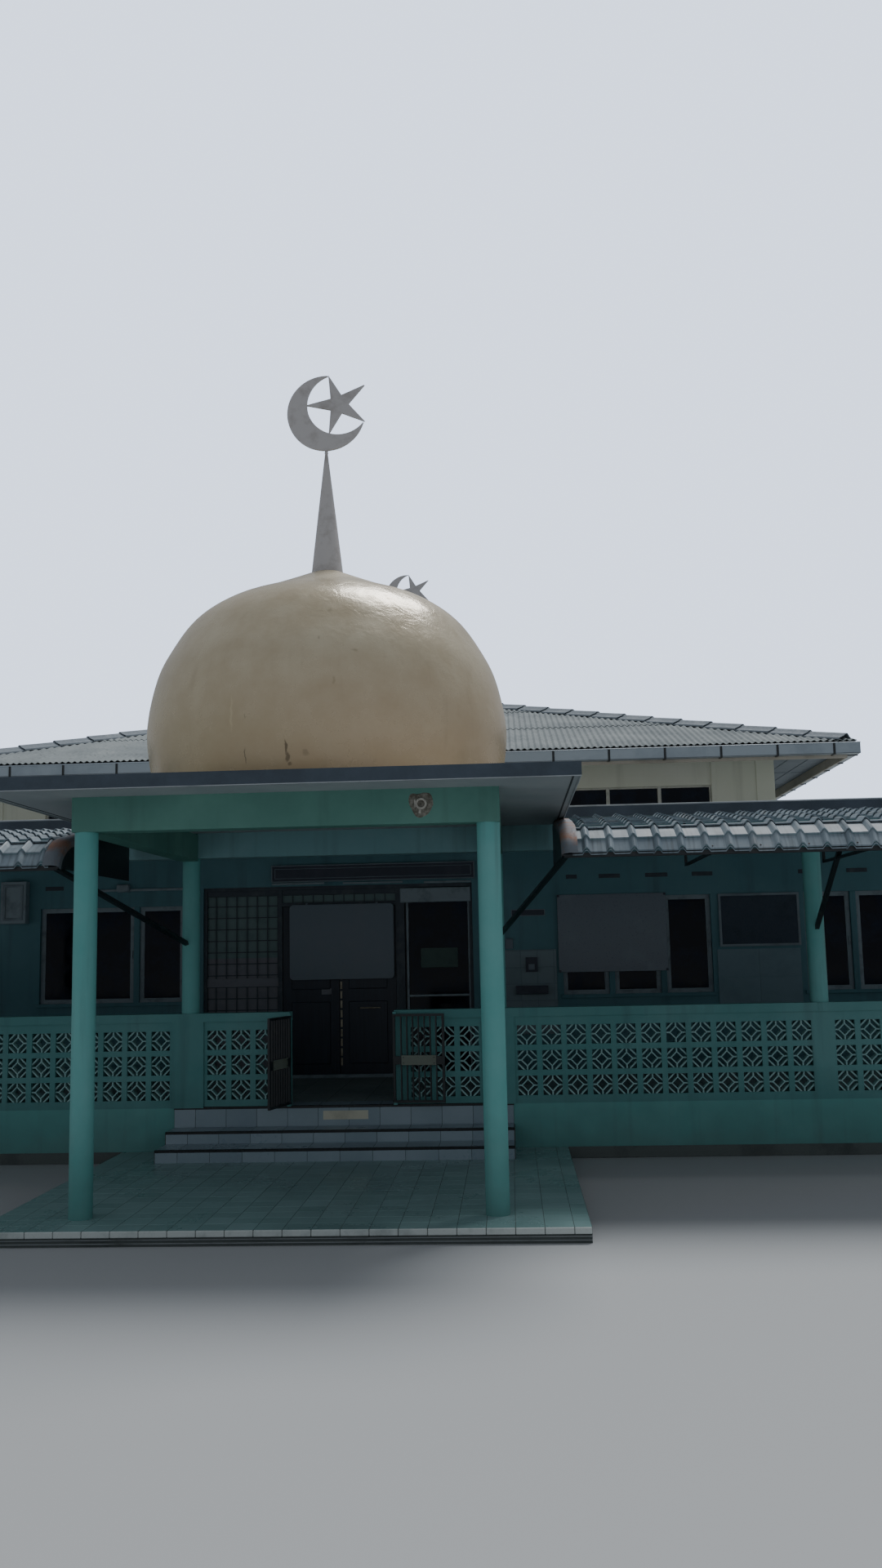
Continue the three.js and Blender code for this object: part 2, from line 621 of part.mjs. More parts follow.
function heightUnderSheet(y) {
  const points = awningUnderside();
  const next = points.findIndex(([at]) => at > y);
  const [y0, z0] = points[next - 1];
  const [y1, z1] = points[next];
  return z0 + (z1 - z0) * (y - y0) / (y1 - y0);
}

// The inner end is closed by a folded sheet: an upright panel and a cover up to the first tiles
function awningEnd(sign) {
  const sheet = 8;
  const cover = 12;
  const bottom = AWNING_FRONT_Z - 12;
  const top = awningTop().map(([y, z]) => [y, Math.min(z, PORCH_SOFFIT - SEAT)]);
  const [frontY] = top[0];
  const [backY] = top[top.length - 1];
  const edge = top.map(([y, z]) => [y, z - cover]);
  const inner = sign * AWNING_END;
  const side = [...top, [backY, bottom], [frontY, bottom]];
  const panel = sweepAlongX(side, ...inOrder(inner, inner + sign * sheet));
  const lid = sweepAlongX([...top, ...edge.reverse()], ...inOrder(inner, sign * (PORCH_HALF - SEAT)));
  return cut(join(panel, lid), strut(sign, 0, RAIL + 2 * SEAT));
}

function inOrder(a, b) {
  return a < b ? [a, b] : [b, a];
}

function addAwnings() {
  const sheetProfile = [...awningTop(), ...awningUnderside().reverse()];
  for (const [side, sign] of [['left', -1], ['right', 1]]) {
    const span = inOrder(sign * PORCH_HALF, sign * FLAT_ROOF_HALF);
    add(`awning_sheet_${side}`, sweepAlongX(sheetProfile, ...span), LOOK.awning);
    add(`awning_end_panel_${side}`, awningEnd(sign), LOOK.darkSteel);
    add(`awning_frame_${side}`, awningFrame(sign), LOOK.darkSteel);
  }
}

// A straight square bar between two points
function bar(from, to, size) {
  const a = new THREE.Vector3(...from);
  const b = new THREE.Vector3(...to);
  const length = a.distanceTo(b);
  const geometry = new THREE.BoxGeometry(size, size, length);
  const turn = new THREE.Quaternion().setFromUnitVectors(
    new THREE.Vector3(0, 0, 1),
    b.clone().sub(a).normalize(),
  );
  geometry.applyQuaternion(turn);
  const middle = a.add(b).multiplyScalar(0.5);
  geometry.translate(middle.x, middle.y, middle.z);
  return geometry;
}

// A front rail and a middle rail carry the sheet, and a strut from each column carries the rails
const RAIL = 40;
const RAIL_Y = AWNING_FRONT_Y + 22;
const RAIL_TOP = AWNING_FRONT_Z + 15;
const MIDDLE_RAIL_Y = AWNING_FRONT_Y + 740;
const MIDDLE_RAIL_TOP = heightUnderSheet(MIDDLE_RAIL_Y) - SEAT;
const CHORD = 25;
const CHORD_BACK_Y = AWNING_FRONT_Y + 1680;
const CORNER_STRUT_LEAN = 640;
const BAYS = [0, 1, 2];

function columnX(bays) {
  return Math.min(PORCH_COLUMN_X + bays * COLUMN_PITCH, BLOCK_HALF - COLUMN_RADIUS);
}

// The strut at the porch leans out sideways to the end of the front rail, the others stand square
function strut(sign, bays, size) {
  const foot = 2140;
  const x = columnX(bays);
  const from = [sign * x, VERANDA_Y + COLUMN_RADIUS, foot];
  if (bays === 0) {
    const head = sign * (x + CORNER_STRUT_LEAN);
    return bar(from, [head, RAIL_Y + RAIL / 2, RAIL_TOP - RAIL / 2], size);
  }
  return bar(from, [sign * x, MIDDLE_RAIL_Y + RAIL / 2, MIDDLE_RAIL_TOP - RAIL / 2], size);
}

// The level bar of a frame crosses its strut and ends at the front rail
function chord(sign, bays) {
  const x = sign * columnX(bays);
  const z = AWNING_FRONT_Z - 15;
  return block(x - CHORD / 2, RAIL_Y + RAIL / 2, z, x + CHORD / 2, CHORD_BACK_Y, z + CHORD);
}

function awningFrame(sign) {
  const clear = 18;
  const [from, to] = inOrder(sign * (AWNING_END + clear), sign * FLAT_ROOF_HALF);
  const front = block(from, RAIL_Y, RAIL_TOP - RAIL, to, RAIL_Y + RAIL, RAIL_TOP);
  const middleFrom = sign < 0 ? from : PORCH_HALF + clear;
  const middleTo = sign < 0 ? -PORCH_HALF - clear : to;
  const top = MIDDLE_RAIL_TOP;
  const middle = block(middleFrom, MIDDLE_RAIL_Y, top - RAIL, middleTo, MIDDLE_RAIL_Y + RAIL, top);
  const struts = BAYS.map((bays) => strut(sign, bays, RAIL));
  const chords = [chord(sign, 1), chord(sign, 2)];
  const columnY = VERANDA_Y + COLUMN_RADIUS;
  const columns = BAYS.map((bays) => (
    upright(COLUMN_RADIUS + SEAT, COPE_TOP, VERANDA_BEAM_BOTTOM, sign * columnX(bays), columnY)
  ));
  return cut(join(front, middle, ...struts, ...chords), ...columns);
}

// The entrance: a steel screen, a double door and a side light in one frame
const FRAME_FRONT = HALL_Y + 40;
const FRAME_DEPTH = 60;
const FRAME_BACK = FRAME_FRONT + FRAME_DEPTH;
const THRESHOLD = 30;
const DOOR_LEFT = -1110;
const DOOR_RIGHT = 300;
const SIDE_LIGHT = 410;
const DOOR_HEAD = 2625;
const TRANSOM = 45;
const DOOR_GAP = 5;
const DOOR_MEETING_GAP = 8;
const DOOR_THICK = 40;
const DOOR_WIDTH = (DOOR_RIGHT - DOOR_LEFT - 2 * DOOR_GAP - DOOR_MEETING_GAP) / 2;
const DOOR_BOTTOM = FLOOR + THRESHOLD + DOOR_GAP;
const HINGE_RADIUS = 7;
const HINGE_SIDES = 12;
const HINGE_PLATE = 6;
const HINGE_LET_IN = 5;
const HINGE_STAND_OFF = 1;
const HINGE_Y = FRAME_BACK + HINGE_RADIUS + HINGE_STAND_OFF;
const HINGE_HEIGHTS = [800, 1600, 2400];
const HINGE_KNUCKLE = 60;

function addEntranceFrame() {
  const post = 50;
  const head = 40;
  const holes = [
    [ENTRANCE_LEFT + head, FLOOR + THRESHOLD, DOOR_LEFT - post, ENTRANCE_HEAD - head],
    [DOOR_LEFT, FLOOR + THRESHOLD, DOOR_RIGHT, DOOR_HEAD],
    [DOOR_LEFT, DOOR_HEAD + TRANSOM, DOOR_RIGHT, ENTRANCE_HEAD - head],
    [SIDE_LIGHT, FLOOR + THRESHOLD, ENTRANCE_RIGHT - head, ENTRANCE_HEAD - head],
  ];
  const x1 = ENTRANCE_RIGHT;
  const frame = wallAlongX(ENTRANCE_LEFT, x1, FLOOR, ENTRANCE_HEAD, FRAME_FRONT, FRAME_DEPTH, holes);
  const knuckles = [DOOR_LEFT, DOOR_RIGHT].flatMap((edge) => HINGE_HEIGHTS.map((z) => {
    const inward = edge === DOOR_LEFT ? 1 : -1;
    return frameKnuckle(edge, inward, z - HINGE_KNUCKLE - SEAT);
  }));
  add('entrance_frame', join(frame, ...knuckles), LOOK.frame);
  const lap = 15;
  const [z0, z1] = [FLOOR + THRESHOLD, ENTRANCE_HEAD];
  const back = FRAME_BACK + GLASS;
  const left = block(ENTRANCE_LEFT, FRAME_BACK, z0, DOOR_LEFT - post + lap, back, z1);
  const over = block(ENTRANCE_LEFT, FRAME_BACK, DOOR_HEAD + TRANSOM - lap, x1, back, z1);
  const right = block(SIDE_LIGHT - lap, FRAME_BACK, z0, x1, back, z1);
  add('entrance_glass', join(left, over, right), LOOK.glass);
}

// A box between two places along X, given in either order
function plateBetween(a, b, y0, y1, z) {
  return block(Math.min(a, b), y0, z, Math.max(a, b), y1, z + HINGE_KNUCKLE);
}

function hingePin(edge, inward, z) {
  return upright(HINGE_RADIUS, z, z + HINGE_KNUCKLE, edge + (inward * DOOR_GAP) / 2, HINGE_Y, HINGE_SIDES);
}

function frameKnuckle(edge, inward, z) {
  const axisX = edge + (inward * DOOR_GAP) / 2;
  const near = edge - (inward * HINGE_RADIUS) / 2;
  const far = edge - inward * 3 * HINGE_RADIUS;
  const flap = plateBetween(near, far, FRAME_BACK - HINGE_LET_IN, HINGE_Y + HINGE_PLATE / 2, z);
  const bridge = plateBetween(near, axisX, HINGE_Y - HINGE_PLATE / 2, HINGE_Y + HINGE_PLATE / 2, z);
  return join(hingePin(edge, inward, z), flap, bridge);
}

// One leaf with the hinge knuckles on its inner face, hung on the side given by inward
function doorLeaf(edge, inward) {
  const near = edge + inward * DOOR_GAP;
  const far = near + inward * DOOR_WIDTH;
  const [x0, x1] = [Math.min(near, far), Math.max(near, far)];
  const leafTop = DOOR_HEAD - DOOR_GAP;
  const leaf = block(x0, FRAME_BACK - DOOR_THICK, DOOR_BOTTOM, x1, FRAME_BACK, leafTop);
  const axisX = edge + (inward * DOOR_GAP) / 2;
  const knuckles = HINGE_HEIGHTS.map((z) => {
    const flapEnd = near + inward * 2 * HINGE_RADIUS;
    const flap = plateBetween(axisX, flapEnd, FRAME_BACK + HINGE_STAND_OFF, HINGE_Y + HINGE_PLATE / 2, z);
    const root = plateBetween(near, flapEnd, FRAME_BACK - HINGE_LET_IN, HINGE_Y, z);
    return join(hingePin(edge, inward, z), flap, root);
  });
  return join(leaf, ...knuckles);
}

function addDoors() {
  add('door_leaf_left', doorLeaf(DOOR_LEFT, 1), LOOK.darkSteel);
  add('door_leaf_right', doorLeaf(DOOR_RIGHT, -1), LOOK.darkSteel);
}

// Plain boards on the front wall; the notice board hangs in front of the doors from two straps
const BOARD = 25;
const SIGN = 40;
const STRAP = 30;
const STRAP_LET_IN = 5;

function addBoards() {
  const noticeBack = FRAME_FRONT - STRAP;
  const [noticeBottom, noticeTop] = [1720, 2640];
  const notice = block(-1010, noticeBack - BOARD, noticeBottom, 280, noticeBack, noticeTop);
  const [strapBottom, strapTop] = [noticeTop - 80, noticeTop + 20];
  const strapFront = noticeBack - STRAP_LET_IN;
  const straps = [-850, 100].map((x) => (
    block(x, strapFront, strapBottom, x + STRAP, FRAME_FRONT, strapTop)
  ));
  add('notice_board', join(notice, ...straps), LOOK.board);
  add('sign_board', block(-1230, HALL_Y - SIGN, 2920, 1290, HALL_Y, 3130), LOOK.darkSteel);
  add('white_board', block(2290, HALL_Y - BOARD, 1750, 3610, HALL_Y, 2690), LOOK.board);
  add('black_board', block(4250, HALL_Y - BOARD, 2030, 5200, HALL_Y, 2650), LOOK.blackboard);
}

addGround();
addColumns();
addBeams();
addRoofSlabs();
addDome();
addGateParapets();
addVerandaParapets();
addGates();
addLowerWalls();
addLowerGlass();
addUpperWall();
addUpperGlass();
addEaves();
addHallRoof();
addAwnings();
addEntranceFrame();
addDoors();
addBoards();

export default building;
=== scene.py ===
# A single-storey mosque with a raised hipped hall, a block-walled veranda and a domed entrance porch.
# Metres, +Z up, +Y towards the rear. Sections follow the building from the ground to the finials.
import functools
import math

import bmesh
import bpy
from mathutils import Matrix, Vector, noise


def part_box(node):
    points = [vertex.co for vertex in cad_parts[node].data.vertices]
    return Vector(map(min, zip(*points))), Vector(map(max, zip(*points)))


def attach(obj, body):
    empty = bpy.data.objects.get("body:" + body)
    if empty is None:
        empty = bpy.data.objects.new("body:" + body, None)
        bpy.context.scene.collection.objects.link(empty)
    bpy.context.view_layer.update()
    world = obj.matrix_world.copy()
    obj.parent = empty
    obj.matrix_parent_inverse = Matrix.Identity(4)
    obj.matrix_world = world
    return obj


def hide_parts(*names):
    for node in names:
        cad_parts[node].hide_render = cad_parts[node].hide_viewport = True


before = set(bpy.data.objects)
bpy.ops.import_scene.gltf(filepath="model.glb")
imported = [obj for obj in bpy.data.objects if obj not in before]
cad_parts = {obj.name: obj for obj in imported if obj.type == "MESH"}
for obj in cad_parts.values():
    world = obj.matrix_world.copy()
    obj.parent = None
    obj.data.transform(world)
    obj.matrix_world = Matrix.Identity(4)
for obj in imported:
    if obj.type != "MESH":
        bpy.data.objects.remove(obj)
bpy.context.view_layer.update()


# The view: from the road, two metres up, right of the porch's middle, and tipped up a little.
# The porch and the middle of the front show, up to the crescent over the dome.
VIEW_PLACE = (1.70, -17.63, 2.03)
VIEW_YAW = math.radians(-2.95)
VIEW_PITCH = math.radians(7.58)
VIEW_ROLL = math.radians(-1.18)
VIEW_LENS = 28.93
VIEW_REACH = 500
QUARTER = math.radians(90)


def shift(x, y, z):
    return Matrix.Translation((x, y, z))


def turn(angle, axis):
    return Matrix.Rotation(angle, 4, axis)


def add_object(name, data):
    made = bpy.data.objects.new(name, data)
    bpy.context.scene.collection.objects.link(made)
    return made


camera_data = bpy.data.cameras.new("camera")
camera_data.sensor_fit = "VERTICAL"
camera_data.sensor_height = 36
camera_data.lens = VIEW_LENS
camera_data.clip_end = VIEW_REACH
camera = add_object("camera", camera_data)
camera.matrix_world = (shift(*VIEW_PLACE) @ turn(-VIEW_YAW, "Z")
                       @ turn(QUARTER + VIEW_PITCH, "X") @ turn(VIEW_ROLL, "Z"))
bpy.context.scene.camera = camera


# The studio: a plain pale floor, an even pale surround and one broad soft lamp.
# The lamp stands high, behind the right of the building, so the front is in open shade.
FLOOR_HALF = 120
FLOOR_GREY = "#a6a9ab"
SURROUND = "#dfe5ee"
SURROUND_STRENGTH = 0.45
BACKDROP = "#d2dff6"
BACKDROP_STRENGTH = 2.3
LAMP_HEIGHT = math.radians(60)
LAMP_SIDE = math.radians(26)
LAMP_STRENGTH = 2.6
LAMP_SOFTNESS = math.radians(26)
SMOOTH_UNDER = math.radians(32)


def linear(code):
    """The linear colour of an sRGB hex code."""
    parts = [int(code[i:i + 2], 16) / 255 for i in (1, 3, 5)]
    return (*[c / 12.92 if c <= 0.04045 else ((c + 0.055) / 1.055) ** 2.4 for c in parts], 1)


def feed(node, inputs):
    """Each input takes a value, an sRGB code, a socket, or a node, which gives its first live output."""
    for key, value in inputs.items():
        if isinstance(value, str):
            value = linear(value)
        if isinstance(value, bpy.types.Node):
            value = next(socket for socket in value.outputs if socket.enabled)
        if isinstance(value, bpy.types.NodeSocket):
            node.id_data.links.new(value, node.inputs[key])
        else:
            node.inputs[key].default_value = value


def add_node(tree, kind, inputs=(), **settings):
    """Adds a shader node with its settings and links. Every Mix here mixes two colours."""
    made = tree.nodes.new("ShaderNode" + kind)
    if kind == "Mix":
        made.data_type = "RGBA"
    for name, value in settings.items():
        setattr(made, name, value)
    feed(made, dict(inputs))
    return made


def new_finish(name, roughness=0.5, metallic=0, colour="#808080"):
    """A named material, its shader, the object's own coordinates, and add_node for its tree."""
    material = bpy.data.materials.new(name)
    material.use_nodes = True
    add = functools.partial(add_node, material.node_tree)
    shader = material.node_tree.nodes["Principled BSDF"]
    feed(shader, {"Roughness": roughness, "Metallic": metallic, "Base Color": colour})
    return material, shader, add("TexCoord").outputs["Object"], add


def make_mesh_object(name, mesh, *materials, smooth=False):
    data = bpy.data.meshes.new(name)
    mesh.to_mesh(data)
    mesh.free()
    for material in materials:
        data.materials.append(material)
    if smooth:
        data.shade_smooth()
        data.set_sharp_from_angle(angle=SMOOTH_UNDER)
    return add_object(name, data)


ground = bmesh.new()
bmesh.ops.create_grid(ground, x_segments=1, y_segments=1, size=FLOOR_HALF)
studio_floor = new_finish("studio floor paper", 0.9, colour=FLOOR_GREY)[0]
make_mesh_object("studio_floor", ground, studio_floor)

surround = bpy.data.worlds.new("surround")
surround.use_nodes = True
add = functools.partial(add_node, surround.node_tree)
seen = add("LightPath").outputs["Is Camera Ray"]
tint = add("Mix", {0: seen, 6: SURROUND, 7: BACKDROP})
strength = add("MapRange", {0: seen, 3: SURROUND_STRENGTH, 4: BACKDROP_STRENGTH})
feed(surround.node_tree.nodes["Background"], {"Color": tint, "Strength": strength})
bpy.context.scene.world = surround

lamp_data = bpy.data.lights.new("soft_lamp", "SUN")
lamp_data.energy = LAMP_STRENGTH
lamp_data.angle = LAMP_SOFTNESS
lamp = add_object("soft_lamp", lamp_data)
lamp.rotation_euler = (QUARTER - LAMP_HEIGHT, 0, math.pi - LAMP_SIDE)


# Painted masonry: cement render on brick and concrete, rolled with two coats of aqua emulsion.
# Years of rain leave pale chalky patches, faint runs below the ledges and grey splashes near the ground.
def finish_nodes(material, *names):
    """The CAD nodes whose shapes stay take their finish here."""
    for name in names:
        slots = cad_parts[name].data.materials
        slots.clear()
        slots.append(material)


def stained(add, base, stain, mask, start, full, most=1, least=0):
    """The base colour, which the stain covers as the mask climbs from start to full."""
    amount = add("MapRange", {0: mask, 1: start, 2: full, 3: least, 4: most})
    return add("Mix", {0: amount, 6: base, 7: stain})


def painted_masonry(name, paint, chalk, grime, roughness=0.62):
    material, shader, place, add = new_finish(name, roughness)
    patches = add("TexNoise", {"Vector": place, "Scale": 0.9, "Detail": 5, "Roughness": 0.6})
    coat = stained(add, paint, chalk, patches, 0.42, 0.68, 0.75)
    tall = add("Mapping", {"Vector": place, "Scale": (7, 7, 0.45)})
    runs = add("TexNoise", {"Vector": tall, "Scale": 1, "Detail": 4})
    run_coat = stained(add, coat, grime, runs, 0.54, 0.78, 0.45)
    height = add("SeparateXYZ", {0: place}).outputs["Z"]
    blotches = add("TexNoise", {"Vector": place, "Scale": 4, "Detail": 6})
    level = add("Math", {0: blotches, 1: 0.5, 2: height}, operation="MULTIPLY_ADD")
    colour = stained(add, run_coat, grime, level, 0.18, 1.1, 0, 0.75)
    stipple = add("TexNoise", {"Vector": place, "Scale": 110, "Detail": 3})
    trowel = add("TexNoise", {"Vector": place, "Scale": 3, "Detail": 2})
    roll = add("Bump", {"Strength": 0.35, "Distance": 0.0012, "Height": stipple})
    wave = add("Bump", {"Strength": 0.4, "Distance": 0.012, "Height": trowel, "Normal": roll})
    feed(shader, {"Base Color": colour, "Normal": wave})
    return material


aqua_paint = painted_masonry("aqua emulsion on render", "#5fa8a4", "#79b5b2", "#4a6c69")
finish_nodes(aqua_paint, "floor_plinth", "rear_wall", "side_wall_left", "side_wall_right")
# The parapets take a darker copy of the aqua paint, which is painted shade
shaded_parapet_paint = painted_masonry("aqua emulsion with painted shade on parapet", "#538f8e", "#6a9f9e", "#3c5f60")
finish_nodes(shaded_parapet_paint, "gate_parapet_left", "gate_parapet_right",
             "veranda_parapet_left", "veranda_parapet_right")
# The porch beam under the slab's overhang takes a darker, greener copy of the aqua paint, which is painted
# shade
shaded_beam_paint = painted_masonry("sea green emulsion with painted shade on beam", "#4f8277", "#659a8d", "#3c5f59")
finish_nodes(shaded_beam_paint, "porch_beam")
# Under the veranda the same paint is duller and bluer, which is painted shade
shaded_wall_paint = painted_masonry("aqua emulsion with painted shade on veranda wall", "#50808a", "#628f98", "#3d565e")
finish_nodes(shaded_wall_paint, "front_wall_left", "front_wall_right", "front_wall_over_entrance")
# The beam behind the awnings takes a paler, bluer copy of the aqua paint, which is painted sky light
skylit_beam_paint = painted_masonry("aqua emulsion with painted sky light on beam", "#74a3a8", "#8cb2b6", "#586e6e")
finish_nodes(skylit_beam_paint, "veranda_beam")
cream_paint = painted_masonry("cream emulsion on render", "#dfe3d2", "#e7e9dd", "#b5b8a8", 0.7)
finish_nodes(cream_paint, "upper_wall")


# Roof slabs: concrete, bare and pale on top, its edges painted dark slate blue, its underside off-white.
# A cement drip runs along the edges, and a narrow groove under the porch slab stops the rain; the groove is
# a thin dark strip whose darkness is painted shade.
DRIP = 0.012
DRIP_HEIGHT = 0.008
TOP_EDGE = 0.03
TOP_EDGE_HEIGHT = 0.016
GROOVE = 0.015
GROOVE_IN = 0.05
GROOVE_THICK = 0.0015
HERE = Matrix.Identity(4)

slab_paint, shader, place, add = new_finish("slate paint on concrete slab", 0.6)
blotches = add("TexNoise", {"Vector": place, "Scale": 2.2, "Detail": 7, "Roughness": 0.65})
worn = add("MapRange", {0: blotches, 1: 0.4, 2: 0.72, 4: 0.8})
edge_coat = add("Mix", {0: worn, 6: "#38444f", 7: "#4c5a68"})
ceiling_coat = add("Mix", {0: worn, 6: "#9aa2a6", 7: "#acb3b5"})
bare_top = add("Mix", {0: worn, 6: "#a9aca9", 7: "#c2c3be"})
facing = add("NewGeometry").outputs["Normal"]
facing_up = add("SeparateXYZ", {0: facing}).outputs["Z"]
downwards = add("Math", {0: facing_up, 1: -0.5}, operation="LESS_THAN")
side_coat = add("Mix", {0: downwards, 6: edge_coat, 7: ceiling_coat})
upwards = add("Math", {0: facing_up, 1: 0.5}, operation="GREATER_THAN")
colour = add("Mix", {0: upwards, 6: side_coat, 7: bare_top})
stipple = add("TexNoise", {"Vector": place, "Scale": 70, "Detail": 4})
relief = add("Bump", {"Strength": 0.4, "Distance": 0.002, "Height": stipple})
feed(shader, {"Base Color": colour, "Normal": relief})
finish_nodes(slab_paint, "porch_roof_slab", "flat_roof_slab")


def pour(mesh, part, *places):
    """Adds a finished part to a mesh, at each of its places or where it was made."""
    data = bpy.data.meshes.new("part")
    part.to_mesh(data)
    part.free()
    for place in places or [HERE]:
        copy = data.copy()
        copy.transform(place)
        mesh.from_mesh(copy)
        bpy.data.meshes.remove(copy)
    bpy.data.meshes.remove(data)


def ease_edges(mesh, edges, offset, segments=1):
    bmesh.ops.bevel(mesh, geom=edges, offset=offset, segments=segments, profile=0.5, affect="EDGES",
                    material=-1)


def add_box(mesh, low, high, ease=0, place=HERE):
    """A box from its low corner to its high corner, with its edges eased, moved to its place."""
    part = bmesh.new()
    low, high = Vector(low), Vector(high)
    stretch = Matrix.Diagonal((*(high - low), 1))
    bmesh.ops.create_cube(part, size=1, matrix=shift(*(low + high) / 2) @ stretch)
    if ease:
        ease_edges(part, part.edges[:], ease)
    pour(mesh, part, place)


def add_piece(name, mesh, slot, *materials, body="building", smooth=False, replaces=None):
    """A finished piece: its slot in the record, which is not used here, its body, and the CAD node that it
    stands for.
    """
    made = make_mesh_object(name, mesh, *materials, smooth=smooth)
    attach(made, body)
    if replaces:
        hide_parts(replaces)


def add_boxes(name, slot, finish, boxes, ease=0, body="building"):
    """A piece made of boxes, each given by its two corners."""
    mesh = bmesh.new()
    for low, high in boxes:
        add_box(mesh, low, high, ease)
    add_piece(name, mesh, slot, finish, body=body)


def weathered(name, coat, worn, roughness, metallic=0, patch=3, spread=(0.5, 0.75), grain=60, relief=0.001):
    """A coat with patches where it is worn, dusty or stained, over a fine relief."""
    material, shader, place, add = new_finish(name, roughness, metallic)
    cloud = add("TexNoise", {"Vector": place, "Scale": patch, "Detail": 6, "Roughness": 0.6})
    colour = stained(add, coat, worn, cloud, *spread)
    fine = add("TexNoise", {"Vector": place, "Scale": grain, "Detail": 3})
    glossy, matt = roughness * 0.85, min(1, roughness * 1.2)
    dull = add("MapRange", {0: fine, 1: 0.3, 2: 0.7, 3: glossy, 4: matt})
    bump = add("Bump", {"Strength": 0.4, "Distance": relief, "Height": fine})
    feed(shader, {"Base Color": colour, "Roughness": dull, "Normal": bump})
    return material


washed_cement = weathered("washed cement drip", "#a9b0b4", "#7f878c", 0.8)
# The drip groove is a thin dark strip under the porch slab; its darkness is painted shade
groove_shade = weathered("painted shade in drip groove", "#3d4446", "#2c3234", 0.95)
porch_low, porch_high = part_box("porch_roof_slab")
flat_low, flat_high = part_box("flat_roof_slab")
left, front, soffit = porch_low
right, back = porch_high[0], flat_low[1]
foot = soffit - DRIP_HEIGHT
drips = [((left, front, foot), (right, front + DRIP, soffit))]
for x in (left, right - DRIP):
    drips.append(((x, front + DRIP, foot), (x + DRIP, back, soffit)))
for x0, x1 in ((flat_low[0], left), (right, flat_high[0])):
    drips.append(((x0, back, flat_high[2]), (x1, back + TOP_EDGE, flat_high[2] + TOP_EDGE_HEIGHT)))
add_boxes("slab_drips", "roof_slab", washed_cement, drips, 0.003)
foot = soffit - GROOVE_THICK
turned = front + GROOVE_IN + GROOVE
grooves = [((left + GROOVE_IN, front + GROOVE_IN, foot), (right - GROOVE_IN, turned, soffit))]
for x in (left + GROOVE_IN, right - GROOVE_IN - GROOVE):
    grooves.append(((x, turned, foot), (x + GROOVE, back, soffit)))
add_boxes("slab_grooves", "roof_slab", groove_shade, grooves)


# Apron: a concrete slab before the steps, laid with 200 mm glazed tiles, a few of them a shade off.
# A pale nosing runs along its front edge, over two steel rails.
APRON_TILE = 0.2056
JOINT = 0.004
TILE_THICK = 0.008
TILE_EASE = 0.0012
NO_JOINT = 9
EDGE_PROUD = 0.014
EDGE_DOWN = 0.036
RAIL = 0.008
RAIL_PROUD = 0.01
RAIL_LEVELS = (0.018, 0.044)


def pull_edges(mesh, edges, move):
    """Pulls faces from edges to where a matrix moves them, and returns the new edges."""
    grown = bmesh.ops.extrude_edge_only(mesh, edges=edges)["geom"]
    verts = [item for item in grown if isinstance(item, bmesh.types.BMVert)]
    bmesh.ops.transform(mesh, matrix=move, verts=verts)
    return [item for item in grown if isinstance(item, bmesh.types.BMEdge)]


def trim(mesh, point, outward):
    """Cuts away all that lies outside a plane."""
    everything = mesh.verts[:] + mesh.edges[:] + mesh.faces[:]
    bmesh.ops.bisect_plane(mesh, geom=everything, dist=1e-5, plane_co=point, plane_no=outward,
                           clear_outer=True)


def face_out(mesh):
    bmesh.ops.recalc_face_normals(mesh, faces=mesh.faces[:])


def lay_tiles(mesh, corner, across, up, size, pitch, first=(0, 0)):
    """Tiles glued on a rectangle; the first joints stand at the given distances from its corner."""
    across, up = Vector(across), Vector(up)
    counts = [math.ceil((size[i] - first[i]) / pitch + 1) for i in (0, 1)]
    whole = [count * pitch for count in counts]
    sheet = bmesh.new()
    start = shift(first[0] - pitch + whole[0] / 2, first[1] - pitch + whole[1] / 2, 0)
    bmesh.ops.create_grid(sheet, x_segments=counts[0], y_segments=counts[1], size=0.5,
                          matrix=start @ Matrix.Diagonal((*whole, 1, 1)))
    for point, outward in (((0, 0, 0), (-1, 0, 0)), ((0, 0, 0), (0, -1, 0)),
                           ((size[0], 0, 0), (1, 0, 0)), ((0, size[1], 0), (0, 1, 0))):
        trim(sheet, point, outward)
    tiles = sheet.faces[:]
    joints = bmesh.ops.inset_individual(sheet, faces=tiles, thickness=JOINT / 2, use_even_offset=True)
    for face in joints["faces"]:
        face.material_index = 1
    bmesh.ops.inset_individual(sheet, faces=tiles, thickness=TILE_EASE, depth=TILE_EASE,
                               use_even_offset=True)
    rim = [edge for edge in sheet.edges if edge.is_boundary]
    pull_edges(sheet, rim, shift(0, 0, -TILE_THICK))
    bmesh.ops.holes_fill(sheet, edges=[edge for edge in sheet.edges if edge.is_boundary], sides=0)
    face_out(sheet)
    outward = across.cross(up)
    lie = Matrix((across, up, outward)).transposed().to_4x4()
    pour(mesh, sheet, shift(*Vector(corner) + outward * TILE_THICK) @ lie)


def glazed_tile(name, glaze, cloud, cell, origin, roughness):
    """Glaze whose shade differs a little from tile to tile. The cells start at the first joint, and a
    cell as wide as NO_JOINT takes in all that it crosses."""
    material, shader, place, add = new_finish(name, roughness)
    moved = add("VectorMath", {0: place, 1: origin}, operation="SUBTRACT")
    tile = add("VectorMath", {0: moved, 1: cell}, operation="SNAP")
    shade = add("TexWhiteNoise", {"Vector": tile})
    dust = add("TexNoise", {"Vector": place, "Scale": 1.4, "Detail": 6, "Roughness": 0.65})
    both = add("Math", {0: shade, 1: 0.35, 2: dust}, operation="MULTIPLY_ADD")
    colour = stained(add, glaze, cloud, both, 0.45, 1)
    film = add("MapRange", {0: dust, 1: 0.35, 2: 0.7, 3: roughness, 4: roughness + 0.25})
    ripple = add("TexNoise", {"Vector": place, "Scale": 26, "Detail": 2})
    bump = add("Bump", {"Strength": 0.25, "Distance": 0.0008, "Height": ripple})
    feed(shader, {"Base Color": colour, "Roughness": film, "Normal": bump})
    return material


